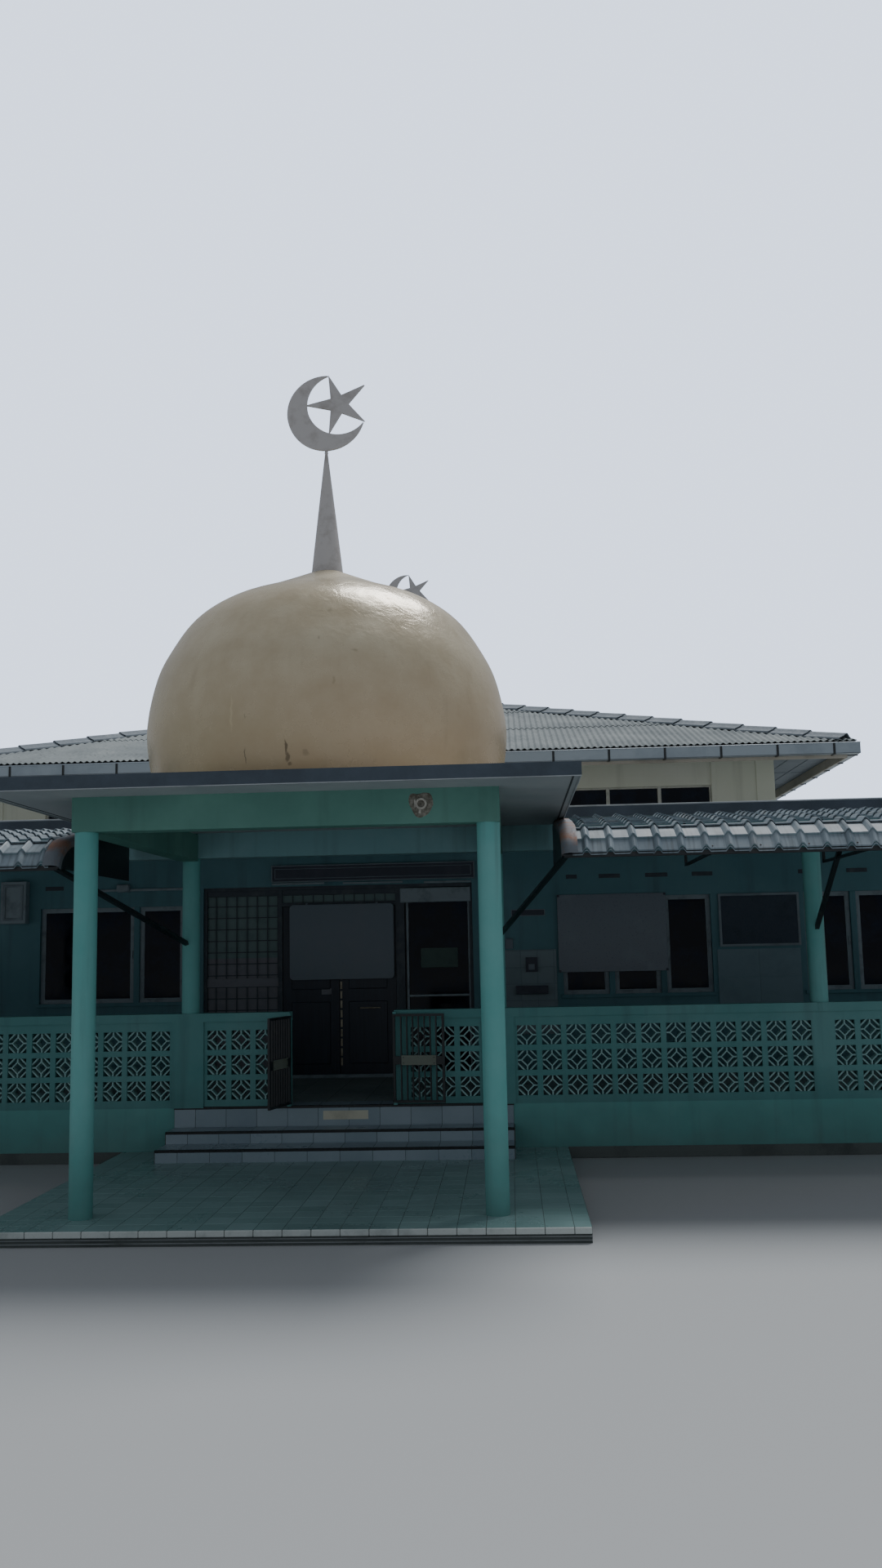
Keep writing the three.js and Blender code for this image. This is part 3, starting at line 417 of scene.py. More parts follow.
grout = weathered("cement grout", "#4b5654", "#39423f", 0.95)
apron_low, apron_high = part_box("porch_apron")
left, front = apron_low[0], apron_low[1]
right, top = apron_high[0], apron_high[2]
apron_glaze = glazed_tile("sea green glazed tile", "#70908f", "#84a2a2", (APRON_TILE, APRON_TILE, NO_JOINT),
                          (left, front, -NO_JOINT / 2), 0.22)
apron = bmesh.new()
lay_tiles(apron, (left, front, top), (1, 0, 0), (0, 1, 0), (right - left, apron_high[1] - front), APRON_TILE)
add_piece("apron_tiles", apron, "apron_tile", apron_glaze, grout)
apron_concrete = weathered("stained concrete", "#59615f", "#3e4644", 0.9, patch=2)
finish_nodes(apron_concrete, "porch_apron")

pale_glaze = weathered("pale glazed nosing", "#c3cbc8", "#9aa5a2", 0.3, patch=5)
nosings = []
for column in range(math.ceil((right - left) / APRON_TILE)):
    x0 = left + column * APRON_TILE
    x1 = min(x0 + APRON_TILE, right)
    nosings.append(((x0 + JOINT / 2, front - EDGE_PROUD, top - EDGE_DOWN),
                    (x1 - JOINT / 2, front, top + TILE_THICK + 0.001)))
add_boxes("apron_nosing", "apron_tile", pale_glaze, nosings, 0.004)
galvanised = weathered("dull galvanised steel", "#8b9193", "#5c5f5e", 0.5, 0.6)
add_boxes("drain_rails", "strut_steel", galvanised,
          [((left, front - RAIL_PROUD, z), (right, front, z + RAIL)) for z in RAIL_LEVELS], 0.002)


# Entrance steps: concrete steps faced with 305 mm white glazed tiles, each edge closed by a black nosing.
# The riser of the raised floor is the third step and carries a small bare plate.
STEP_TILE = 0.3082
STEP_FIRST = (0.215, 0)
NOSING_HEIGHT = 0.016
NOSING_DEPTH = 0.03
NOSING_PROUD = 0.004
NOSING_RISE = 0.003
PLATE = (-0.197, 0.253, 0.401, 0.487)
PLATE_THICK = 0.004

steps = [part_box("entrance_step_lower"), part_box("entrance_step_upper")]
floor_low, floor_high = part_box("floor_plinth")
step_half = steps[0][1][0]
riser_fronts = [steps[0][0][1], steps[1][0][1], floor_low[1]]
levels = [steps[0][0][2], steps[0][1][2], steps[1][1][2], floor_high[2]]
step_glaze = glazed_tile("white glazed tile", "#7f929d", "#96a7b0", (STEP_TILE, NO_JOINT, NO_JOINT),
                         (STEP_FIRST[0] - step_half, -NO_JOINT / 2, -NO_JOINT / 2), 0.25)
step_tiles = bmesh.new()
step_nosings = []
width = 2 * step_half
for order, y in enumerate(riser_fronts):
    bottom, top = levels[order], levels[order + 1]
    rise = top - bottom
    tread = riser_fronts[order + 1] - y if order < 2 else STEP_TILE
    for foot, up, extent in ((bottom, (0, 0, 1), rise), (top, (0, 1, 0), tread)):
        lay_tiles(step_tiles, (-step_half, y, foot), (1, 0, 0), up, (width, extent), STEP_TILE, STEP_FIRST)
    edge = y - TILE_THICK - NOSING_PROUD
    step_nosings.append(((-step_half - NOSING_PROUD, edge, top - NOSING_HEIGHT),
                         (step_half + NOSING_PROUD, edge + NOSING_DEPTH, top + TILE_THICK + NOSING_RISE)))
    if order < 2:
        depth = floor_low[1] - y
        for x, start, across in ((step_half, y, (0, 1, 0)), (-step_half, y + depth, (0, -1, 0))):
            lay_tiles(step_tiles, (x, start, bottom), across, (0, 0, 1), (depth, rise), STEP_TILE)
add_piece("step_tiles", step_tiles, "step_tile", step_glaze, grout)
finish_nodes(apron_concrete, "entrance_step_lower", "entrance_step_upper")
black_glaze = weathered("black ceramic nosing", "#14181b", "#262c30", 0.3)
add_boxes("step_nosings", "step_tile", black_glaze, step_nosings, 0.004)
blank_plate = weathered("blank cream plate", "#c9c8b4", "#a9a998", 0.5)
plate_back = floor_low[1] - TILE_THICK
x0, x1, z0, z1 = PLATE
add_boxes("step_plate", "board_white", blank_plate,
          [((x0, plate_back - PLATE_THICK, z0), (x1, plate_back, z1))], 0.0015)


# Veranda floor and skirting: 400 mm grey tiles on the raised floor, and a low cement skirting
# that was trowelled along the foot of the plinth outside.
FLOOR_TILE = 0.4
FLOOR_LEFT = -7.82
FLOOR_FRONT = -4.55
SKIRTING = 0.012
SKIRTING_TOP = 0.11

hall_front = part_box("front_wall_right")[0][1]
floor_glaze = glazed_tile("grey glazed floor tile", "#7b8988", "#8f9b99", (FLOOR_TILE, FLOOR_TILE, NO_JOINT),
                          (FLOOR_LEFT, FLOOR_FRONT, -NO_JOINT / 2), 0.3)
veranda_floor = bmesh.new()
lay_tiles(veranda_floor, (FLOOR_LEFT, FLOOR_FRONT, floor_high[2]), (1, 0, 0), (0, 1, 0),
          (-2 * FLOOR_LEFT, hall_front - FLOOR_FRONT), FLOOR_TILE)
add_piece("veranda_floor_tiles", veranda_floor, "apron_tile", floor_glaze, grout)
left, front, foot = floor_low
right, back = floor_high[0], floor_high[1]
add_boxes("plinth_skirting", "teal_masonry", apron_concrete, [
    ((x0, y0, 0), (x1, y1, SKIRTING_TOP)) for x0, x1, y0, y1 in (
        (left, apron_low[0], front - SKIRTING, front), (apron_high[0], right, front - SKIRTING, front),
        (left - SKIRTING, left, front, back), (right, right + SKIRTING, front, back),
        (left, right, back, back + SKIRTING))], 0.004)


# Columns: round concrete columns, cast in pipe moulds and painted aqua. The front pair stands on the
# apron under the porch beam, and the others stand on the low wall under the veranda beam.
COLUMN_FACETS = 64
COLUMN_RINGS = 6
UNEVEN = 0.012


def add_cone(mesh, segments, radius, top_radius, depth, place=HERE, cap_ends=True):
    bmesh.ops.create_cone(mesh, cap_ends=cap_ends, segments=segments, radius1=radius, radius2=top_radius,
                          depth=depth, matrix=place)


def cast_column(low, high):
    """A smooth shaft with the faint unevenness of hand-finished render."""
    shaft = bmesh.new()
    low, high = Vector(low), Vector(high)
    height = high.z - low.z
    radius = (high.x - low.x) / 2
    middle = (low + high) / 2
    add_cone(shaft, COLUMN_FACETS, radius, radius, height, shift(*middle))
    for ring in range(1, COLUMN_RINGS):
        everything = shaft.verts[:] + shaft.edges[:] + shaft.faces[:]
        level = (0, 0, low.z + height * ring / COLUMN_RINGS)
        bmesh.ops.bisect_plane(shaft, geom=everything, plane_co=level, plane_no=(0, 0, 1))
    for vert in shaft.verts:
        away = Vector((vert.co.x - middle.x, vert.co.y - middle.y, 0))
        vert.co -= away * (UNEVEN * abs(noise.noise(vert.co * 2.3)))
    return shaft


for name in sorted(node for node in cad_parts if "_column_" in node):
    add_piece(name + "_shaft", cast_column(*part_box(name)), "teal_masonry", aqua_paint, smooth=True,
              replaces=name)


# Broken lamp: a round porcelain base on the porch beam, its shade gone and its plaster patch stained.
# The bare ring and two clips are all that is left.
LAMP_PLACE = (1.055, -8.12, 3.15)
LAMP_RING = 0.036
LAMP_RIM = 0.009
PATCH_RADIUS = 0.1
PATCH_UNEVEN = 0.03


def spin_round(mesh, steps):
    """Turns the lines of a mesh about its upright axis into a closed shape."""
    bmesh.ops.spin(mesh, geom=mesh.verts[:] + mesh.edges[:], cent=(0, 0, 0), axis=(0, 0, 1),
                   angle=math.tau, steps=steps, use_merge=True)
    bmesh.ops.remove_doubles(mesh, verts=mesh.verts[:], dist=1e-6)
    face_out(mesh)


stained_plaster = weathered("stained plaster patch", "#8f8d83", "#5d5a50", 0.9, patch=30,
                            spread=(0.4, 0.6), relief=0.004)
at_lamp = shift(*LAMP_PLACE)
upright = turn(QUARTER, "X")
patch = bmesh.new()
add_cone(patch, 28, PATCH_RADIUS, PATCH_RADIUS * 0.85, 0.012, at_lamp @ upright)
for vert in patch.verts:
    vert.co.x += PATCH_UNEVEN * noise.noise(vert.co * 14)
    vert.co.z += PATCH_UNEVEN * noise.noise(vert.co * 14 + Vector((9, 0, 0)))
add_piece("lamp_patch", patch, "teal_masonry", stained_plaster)
porcelain = weathered("chipped porcelain", "#b3b0a6", "#4a463e", 0.45, patch=22)
ring = bmesh.new()
bmesh.ops.create_circle(ring, segments=8, radius=LAMP_RIM, matrix=shift(LAMP_RING, 0, 0) @ upright)
spin_round(ring, 24)
lamp_rings = bmesh.new()
pour(lamp_rings, ring, at_lamp @ shift(0, -0.016, 0) @ upright)
add_box(lamp_rings, (-0.052, -0.024, -0.03), (-0.04, -0.006, 0.03), 0.002, at_lamp)
add_box(lamp_rings, (-0.02, -0.02, -0.075), (0, -0.006, -0.03), 0.002, at_lamp)
add_piece("lamp_ring", lamp_rings, "frame_steel", porcelain, smooth=True)


# Ventilation blocks: cement blocks cast in steel moulds and laid in three courses under the coping.
# Each is a square hole with an open diamond in it, held by four short ribs, and a rib over each
# corner. The ribs are paler than the wall. One corner rib on the right has broken out.
BLOCK_PITCH = 0.2455
BLOCK_HALF = 0.095
BLOCK_ROWS = (1.193, 0.9475, 0.702)
BLOCK_DEPTH = 0.09
BLOCK_RUNS = ((1.395, 3, -1), (1.72, 12, 1), (4.84, 12, 1))
BLOCK_LINE = -4.8
RETURN_LINE = 7.89
RETURN_START = -4.65
DIAMOND_RADIUS = 0.067
RIB = 0.014
CORNER_RIB = 0.099
CORNER_GAP = 0.045
BROKEN_BLOCK = 27
RETURN_COLUMNS = 10

rib_paint = weathered("pale emulsion on cement rib", "#92bdbb", "#a9c9c6", 0.6, patch=6)


def thicken(mesh, thickness):
    bmesh.ops.solidify(mesh, geom=mesh.faces[:], thickness=thickness)
    face_out(mesh)


def vent_block(corners):
    """The ribs of one block, with a rib over each of the given corners."""
    block = bmesh.new()
    add_cone(block, 4, DIAMOND_RADIUS, DIAMOND_RADIUS, BLOCK_DEPTH, upright, cap_ends=False)
    face_out(block)
    thicken(block, RIB * 0.8)
    inner = DIAMOND_RADIUS - RIB / 2
    reach = BLOCK_HALF * math.sqrt(2) - CORNER_GAP
    y = BLOCK_DEPTH / 2 - 0.002
    for side in range(4):
        add_box(block, (inner, -y, -RIB / 2), (BLOCK_HALF, y, RIB / 2), place=turn(QUARTER * side, "Y"))
    y = BLOCK_DEPTH / 2 - 0.001
    for corner in corners:
        add_box(block, (reach - RIB / 2, -y, -CORNER_RIB / 2), (reach + RIB / 2, y, CORNER_RIB / 2),
                place=turn(QUARTER * (corner + 0.5), "Y"))
    return block


for side, sign in (("left", -1), ("right", 1)):
    places = [shift(sign * (start + step * (column + 0.5) * BLOCK_PITCH), BLOCK_LINE, z)
              for start, count, step in BLOCK_RUNS for column in range(count) for z in BLOCK_ROWS]
    blocks = bmesh.new()
    if side == "right":
        pour(blocks, vent_block((0, 2, 3)), places.pop(BROKEN_BLOCK))
    for column in range(RETURN_COLUMNS):
        y = RETURN_START + (column + 0.5) * BLOCK_PITCH
        places += [shift(sign * RETURN_LINE, y, z) @ turn(QUARTER, "Z") for z in BLOCK_ROWS]
    pour(blocks, vent_block((0, 1, 2, 3)), *places)
    add_piece("vent_blocks_" + side, blocks, "teal_masonry", rib_paint)


# Gates: two small leaves of black-painted square steel bar, hung on pins in the piers.
# Each has a bare tin plate on both faces. The left leaf is open by 103 degrees, and the right leaf is
# folded back.
GATE_AXIS = (0.525, -4.91)
GATE_PLATE = (0.075, 0.425, 0.925, 1.02)
GATE_HALF = 0.012
GATE_TIN = 0.003
GATE_PINS = (0.56, 1.401)
SCREW_IN = 0.02
SCREW_HEAD = 0.004
COLLAR = 0.016
COLLAR_HEIGHT = 0.024

black_steel = weathered("black gloss paint on steel", "#1b2226", "#3a3a38", 0.38, 0, patch=9,
                        spread=(0.55, 0.8), grain=140, relief=0.0006)
finish_nodes(black_steel, "gate_leaf_left", "gate_leaf_right")
gate_tin = weathered("bare grey-green tin plate", "#747b70", "#60665c", 0.5)
x0, x1, z0, z1 = GATE_PLATE
for side, sign, angle in (("left", -1, -103), ("right", 1, 352)):
    swing = shift(sign * GATE_AXIS[0], GATE_AXIS[1], 0) @ turn(math.radians(angle), "Z")
    plates = bmesh.new()
    knobs = bmesh.new()
    for face in (-1, 1):
        y0, y1 = sorted((face * GATE_HALF, face * (GATE_HALF + GATE_TIN)))
        add_box(plates, (x0, y0, z0), (x1, y1, z1), 0.001, swing)
        for x in (x0 + SCREW_IN, x1 - SCREW_IN):
            for z in (z0 + SCREW_IN, z1 - SCREW_IN):
                head = swing @ shift(x, face * (GATE_HALF + SCREW_HEAD), z) @ upright
                add_cone(knobs, 8, SCREW_HEAD * 1.5, SCREW_HEAD, SCREW_HEAD, head)
    add_piece("gate_plate_" + side, plates, "board_white", gate_tin, body="gate_" + side)
    for z in GATE_PINS:
        add_box(knobs, (-COLLAR, -COLLAR, z), (COLLAR, COLLAR, z + COLLAR_HEIGHT), 0.004, swing)
    face_out(knobs)
    add_piece("gate_fixings_" + side, knobs, "black_steel", black_steel, body="gate_" + side)


# Windows: rendered posts divide each opening in three, and every light has a pressed steel casement
# with tinted glass. A cement sill with eased edges stands proud below.
WINDOW_WIDTH = 1.81
WINDOW_SILL = 1.48
WINDOW_HEAD = 2.66
WINDOW_HEIGHT = WINDOW_HEAD - WINDOW_SILL
FRONT_WINDOWS = (3.245, 6.175)
SIDE_WINDOWS = (0.385, 5.315)
POST = 0.07
POST_IN = 0.012
POST_DEPTH = 0.1
CASEMENT = (WINDOW_WIDTH - 2 * POST) / 3
BORDER = 0.042
CASEMENT_DEPTH = 0.035
REVEAL = 0.05
SILL_PROUD = 0.025
SILL_DEPTH = 0.04
SILL_REACH = 0.03
PANE_LAP = 0.01


def frame_ring(width, height, border, depth, ease=0.003):
    """A mitred frame that stands along X, its front face towards -Y through the origin."""
    ring = bmesh.new()
    bmesh.ops.create_grid(ring, x_segments=1, y_segments=1, size=0.5,
                          matrix=upright @ Matrix.Diagonal((width, height, 1, 1)))
    opening = ring.faces[:]
    bmesh.ops.inset_individual(ring, faces=opening, thickness=border, use_even_offset=True)
    bmesh.ops.delete(ring, geom=opening, context="FACES")
    thicken(ring, depth)
    if ease:
        ease_edges(ring, [edge for edge in ring.edges if edge.calc_face_angle(0) > 0.5], ease)
    return ring


def fit_window(posts, casements, panes, place):
    """One window, placed by a matrix from the middle of the opening's outer face at ground level."""
    for side in (-1, 1):
        x = side * (CASEMENT + POST) / 2
        add_box(posts, (x - POST / 2, POST_IN, WINDOW_SILL),
                (x + POST / 2, POST_IN + POST_DEPTH, WINDOW_HEAD), 0.004, place)
    half = WINDOW_WIDTH / 2 + SILL_REACH
    add_box(posts, (-half, -SILL_PROUD, WINDOW_SILL - SILL_DEPTH),
            (half, 0, WINDOW_SILL + 0.004), 0.004, place)
    edge = CASEMENT / 2
    half = edge - BORDER + PANE_LAP
    rise = WINDOW_HEIGHT / 2 - BORDER + PANE_LAP
    for light in (-1, 0, 1):
        at = place @ shift(light * (CASEMENT + POST), REVEAL, (WINDOW_SILL + WINDOW_HEAD) / 2)
        pour(casements, frame_ring(CASEMENT, WINDOW_HEIGHT, BORDER, CASEMENT_DEPTH), at)
        bead = frame_ring(CASEMENT - 2 * BORDER, WINDOW_HEIGHT - 2 * BORDER, 0.012, 0.01, 0)
        pour(casements, bead, at @ shift(0, 0.006, 0))
        add_box(casements, (edge - 0.032, -0.022, -0.05), (edge - 0.018, 0, 0.05), 0.003, at)
        add_box(panes, (-half, 0.016, -rise), (half, 0.022, rise), 0, at)


steel_frame = weathered("grey paint on pressed steel", "#8b9ba3", "#6c7a80", 0.45, 0, patch=7)
tinted_glass, shader, place, add = new_finish("tinted window glass", 0.06)
film = add("TexNoise", {"Vector": place, "Scale": 3, "Detail": 5, "Roughness": 0.6})
colour = stained(add, "#060f1c", "#12233a", film, 0.45, 0.75)
gloss = add("MapRange", {0: film, 1: 0.4, 2: 0.8, 3: 0.05, 4: 0.3})
feed(shader, {"Base Color": colour, "Roughness": gloss, "Specular IOR Level": 0.15})

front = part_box("front_wall_right")[0][1]
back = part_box("rear_wall")[1][1]
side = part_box("side_wall_right")[1][0]
WINDOWS = {
    "front_left": [shift(-x, front, 0) for x in FRONT_WINDOWS],
    "front_right": [shift(x, front, 0) for x in FRONT_WINDOWS],
    "rear": [shift(sign * x, back, 0) @ turn(math.pi, "Z") for x in FRONT_WINDOWS for sign in (-1, 1)],
    "side_left": [shift(-side, y, 0) @ turn(-QUARTER, "Z") for y in SIDE_WINDOWS],
    "side_right": [shift(side, y, 0) @ turn(QUARTER, "Z") for y in SIDE_WINDOWS]}
posts = bmesh.new()
casements = bmesh.new()
panes = {wall: bmesh.new() for wall in WINDOWS}
for wall, places in WINDOWS.items():
    for place in places:
        fit_window(posts, casements, panes[wall], place)
# The window posts take the aqua paint with painted shade
add_piece("window_posts", posts, "teal_masonry", shaded_wall_paint)
add_piece("window_casements", casements, "frame_steel", steel_frame)
for wall in WINDOWS:
    node = wall.replace("_", "_glass_") if "_" in wall else wall + "_glass"
    add_piece("window_panes_" + wall, panes[wall], "dark_glass", tinted_glass, replaces=node)


# Entrance frame: grey-painted steel sections round the doors, under a dark boxed header.
# A long light on the left and a row of small panes over the doors sit behind a welded grid.
GRID_BAR = 0.012
SCREEN = (-2.05, -1.165, 0.56, 2.76)
SCREEN_SPLIT = 2
PANE_FRONT = -1.992
PANE_BACK = -1.986
GRID_X = 0.129
GRID_Z = 0.1415
GRID_FRONT = -2.016
GRID_BACK = -1.996
GRID_MIDDLE = GRID_FRONT + 0.01
OVER_DOOR = (-1.11, 0.3, 2.67)
OVER_PITCH = 0.128

dull_steel = weathered("old slate paint on steel", "#3a4650", "#525c63", 0.5, 0, patch=6)
finish_nodes(dull_steel, "entrance_frame")
finish_nodes(tinted_glass, "entrance_glass")
frosted_upper = weathered("frosted glass, sea green", "#6c8585", "#5b7477", 0.5, patch=5)
frosted_lower = weathered("frosted glass, warm grey", "#7c7f87", "#696d76", 0.5, patch=5)
x0, x1, z0, z1 = SCREEN
over0, over1, over_foot = OVER_DOOR
add_boxes("screen_glass_upper", "dark_glass", frosted_upper,
          [((x0, PANE_FRONT, SCREEN_SPLIT), (x1, PANE_BACK, z1)),
           ((over0, PANE_FRONT, over_foot), (over1, PANE_BACK, z1))], 0.001)
add_boxes("screen_glass_lower", "dark_glass", frosted_lower,
          [((x0, PANE_FRONT, z0), (x1, PANE_BACK, SCREEN_SPLIT))], 0.001)
add_boxes("screen_plain_strip", "dark_glass", frosted_lower,
          [((x0, -2.019, 1.648), (x1, GRID_FRONT, 1.752))], 0.001)

grid = bmesh.new()
half = GRID_BAR / 2
for x in [x0 + 0.106 + GRID_X * i for i in range(7)]:
    add_box(grid, (x - half, GRID_FRONT, z0), (x + half, GRID_MIDDLE, z1))
for z in [2.637 - GRID_Z * i for i in range(15)]:
    if z > z0 + 0.03:
        add_box(grid, (x0, GRID_MIDDLE, z - half), (x1, GRID_BACK, z + half))
for x in [over0 + OVER_PITCH * column for column in range(1, 11)]:
    add_box(grid, (x - half, GRID_FRONT, over_foot), (x + half, GRID_MIDDLE, z1))
for left, right in ((-2.05, -1.16), (over0, over1)):
    add_box(grid, (left, -2.03, z1), (right, -1.99, 2.83), 0.003)
add_piece("screen_grid", grid, "frame_steel", dull_steel)

# The side light has a blind box at its head, slim pale uprights and a green board behind
add_boxes("side_light_blind_box", "frame_steel", steel_frame,
          [((0.36, -2.062, 2.64), (1.235, -2.04, 2.82))], 0.008)
slim = bmesh.new()
for x in (0.43, 1.19):
    add_box(slim, (x, -2.024, 0.56), (x + 0.028, -1.985, 2.64), 0.003)
add_box(slim, (0.43, -2.02, 1.49), (1.21, -1.985, 1.515), 0.003)
add_box(slim, (-1.17, -2.052, 0.53), (1.25, -2.04, 0.575), 0.004)
add_piece("side_light_uprights", slim, "frame_steel", steel_frame)
green_board = weathered("dull green painted board", "#4a625c", "#3d544f", 0.6, patch=4)
add_boxes("side_light_panel", "teal_masonry", green_board,
          [((0.602, PANE_FRONT, 1.84), (1.058, PANE_BACK, 2.079))], 0.002)


# Doors: two tall leaves of dark stained board on a timber frame, with raised panels.
# A row of brass-coloured cover plates closes the meeting edge, and the right leaf has one level pull.
DOOR_FACE = -2.02
PANEL_FACE = DOOR_FACE - 0.008
PANEL_IN = 0.11
PANEL_HEIGHTS = ((0.70, 1.45), (1.60, 2.50))
PULL_LEVEL = 1.36
PULL = 0.018
STRIP_PITCH = 0.115

door_stain, shader, place, add = new_finish("dark stained door board", 0.42)
grain_place = add("Mapping", {"Vector": place, "Scale": (34, 34, 1.6)})
grain = add("TexNoise", {"Vector": grain_place, "Scale": 1, "Detail": 5, "Roughness": 0.6,
                         "Distortion": 0.4})
colour = add("Mix", {0: grain, 6: "#0c1624", 7: "#243446"})
bump = add("Bump", {"Strength": 0.35, "Distance": 0.001, "Height": grain})
feed(shader, {"Base Color": colour, "Normal": bump})
finish_nodes(door_stain, "door_leaf_left", "door_leaf_right")
for side, x0, x1 in (("left", -1.105, -0.409), ("right", -0.401, 0.295)):
    panels = [((x0 + PANEL_IN, PANEL_FACE, z0), (x1 - PANEL_IN, DOOR_FACE, z1)) for z0, z1 in PANEL_HEIGHTS]
    add_boxes("door_panels_" + side, "door_timber", door_stain, panels, 0.007, "door_" + side)
brass = weathered("dull brass cover strip", "#a39d8b", "#6f6a5c", 0.4, 0.5, patch=14)
hardware = bmesh.new()
for z in [0.68 + STRIP_PITCH * i for i in range(10)]:
    add_box(hardware, (-0.396, DOOR_FACE - 0.006, z), (-0.372, DOOR_FACE, z + 0.092), 0.002)
add_box(hardware, (-0.157, PANEL_FACE - 0.03, PULL_LEVEL),
        (0.104, PANEL_FACE - 0.012, PULL_LEVEL + PULL), 0.006)
for x in (-0.14, 0.075):
    add_box(hardware, (x, PANEL_FACE - 0.016, PULL_LEVEL), (x + 0.016, PANEL_FACE, PULL_LEVEL + PULL), 0.003)
add_piece("door_cover_strip", hardware, "gold_paint", brass, body="door_right")
add_boxes("door_blank_label", "board_white", frosted_lower,
          [((-0.628, DOOR_FACE - 0.004, 1.538), (-0.507, DOOR_FACE, 1.614))], 0.001, "door_left")


# Boards and fittings of the front wall: bare enamelled boards in thin frames, small blank signs,
# louvred vents, a steel wall box and a cable duct, all screwed or strapped to the wall.
WALL_FACE = -2.08
CLIP = 0.028
SLAT = 0.007
WALL_TILE = 0.2
TILE_PANEL = (1.628, WALL_FACE, 1.02)
VENTS = ((2.411, 2.542), (2.81, 3.07), (3.377, 3.647), (3.942, 4.192), (5.225, 5.306),
         (5.803, 6.05), (-4.092, -3.863), (-5.6, -5.35), (-6.75, -6.5), (6.6, 6.85))


def rounded_panel(low, high, radius, ease=0.003):
    """An upright board whose four corners are rounded."""
    panel = bmesh.new()
    add_box(panel, low, high)
    along = [edge for edge in panel.edges if abs(edge.verts[0].co.y - edge.verts[1].co.y) > 1e-6]
    ease_edges(panel, along, radius, 6)
    ease_edges(panel, [edge for edge in panel.edges if edge.calc_face_angle(0) > 1], ease, 2)
    return panel


def add_fittings(name, slot, finish, *rows):
    """Things fixed on the wall: left, right, foot, head, how far each stands proud, and its ease."""
    fittings = bmesh.new()
    for x0, x1, z0, z1, proud, ease in rows:
        add_box(fittings, (x0, WALL_FACE - proud, z0), (x1, WALL_FACE, z1), ease)
    add_piece(name, fittings, slot, finish)


def face_of(name):
    """The middle of a CAD board across, its front, its middle in height, and its width and height."""
    low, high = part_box(name)
    return (low[0] + high[0]) / 2, low[1], (low[2] + high[2]) / 2, high[0] - low[0], high[2] - low[2]


def add_rim(name, finish, *rims):
    """Thin frames of steel: the middle of each, its width and height, border, depth and ease."""
    made = bmesh.new()
    for middle, *sizes in rims:
        pour(made, frame_ring(*sizes), shift(*middle))
    add_piece(name, made, "frame_steel", finish)


notice_enamel = weathered("blank notice enamel", "#667682", "#6c7883", 0.35, patch=3)
low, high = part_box("notice_board")
notice = rounded_panel((low[0], -2.095, 1.72), (high[0], -2.07, 2.64), 0.05)
for x in (-0.8, 0.07):
    add_box(notice, (x - 0.012, -2.075, 2.55), (x + 0.012, -2.04, 2.66), 0.001)
add_piece("notice_board_enamel", notice, "board_white", notice_enamel, replaces="notice_board")
trim_steel = weathered("pale frame paint", "#7d8c95", "#66747d", 0.4)
x, face, z, width, height = face_of("sign_board")
add_rim("sign_board_frame", trim_steel, ((x, face - 0.01, z), width, height, 0.014, 0.01, 0.002),
        ((x, face - 0.006, z), width - 0.084, height - 0.084, 0.008, 0.006, 0.002))
board_dark = weathered("faded plum board paint", "#39414f", "#474c5a", 0.5, patch=4)
finish_nodes(board_dark, "sign_board")
add_fittings("sign_battens", "teal_masonry", steel_frame, *[
    (x0, x1, z - 0.012, z + 0.012, 0.02, 0.003)
    for x0, x1, z in ((-1.23, -0.576, 2.902), (-0.343, 0.399, 2.895), (0.661, 1.245, 2.885))])

white_enamel = weathered("blank white board enamel", "#6b7884", "#7b8a95", 0.3, patch=2)
low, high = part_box("white_board")
add_piece("white_board_enamel", rounded_panel(low, high, 0.04), "board_white", white_enamel,
          replaces="white_board")
add_boxes("white_board_clips", "board_dark", board_dark,
          [((x, low[1] - 0.004, z), (x + CLIP, low[1], z + CLIP))
           for x in (low[0], high[0] - CLIP) for z in (low[2], high[2] - CLIP)], 0.001)

slate = weathered("black board paint", "#3b4856", "#303c48", 0.7, patch=5)
finish_nodes(slate, "black_board")
x, face, z, width, height = face_of("black_board")
add_rim("black_board_frame", trim_steel, ((x, face - 0.006, z), width + 0.02, height + 0.02, 0.03, 0.014))
plain_panel = weathered("painted cement panel", "#76909a", "#6b848e", 0.6, patch=3)
add_fittings("plain_wall_panel", "board_white", plain_panel, *[
    (x0, x1, z0, z1, 0.012, 0.0006) for x0, x1 in ((4.205, 4.7017), (4.7033, 5.2))
    for z0, z1 in ((1.325, 1.6567), (1.6583, 1.99))])

add_fittings("small_blank_signs", "board_white", notice_enamel, (1.646, 1.74, 2.047, 2.174, 0.02, 0.003),
             (1.92, 1.995, 1.79, 1.86, 0.058, 0.003), (3.185, 3.268, 1.085, 1.163, 0.03, 0.003))
add_fittings("wall_switch_box_and_shelf", "board_dark", board_dark,
             (1.727, 2.139, 2.443, 2.523, 0.008, 0.003), (1.887, 2.032, 1.766, 1.94, 0.055, 0.003),
             (1.761, 2.151, 1.5, 1.6, 0.09, 0.003))
add_rim("small_sign_rim", trim_steel, ((1.933, WALL_FACE - 0.014, 2.483), 0.412, 0.08, 0.008, 0.006, 0.001))
wall_tiles = bmesh.new()
lay_tiles(wall_tiles, TILE_PANEL, (1, 0, 0), (0, 0, 1), (0.635, 1.014), WALL_TILE, (WALL_TILE, 0))
wall_glaze = glazed_tile("pale wall tile", "#6f858d", "#7e939a", (WALL_TILE, NO_JOINT, WALL_TILE),
                         (TILE_PANEL[0], -NO_JOINT / 2, TILE_PANEL[2]), 0.3)
pale_grout = weathered("pale wall grout", "#66797f", "#5f7177", 0.8)
add_piece("wall_tile_panel", wall_tiles, "step_tile", wall_glaze, pale_grout)

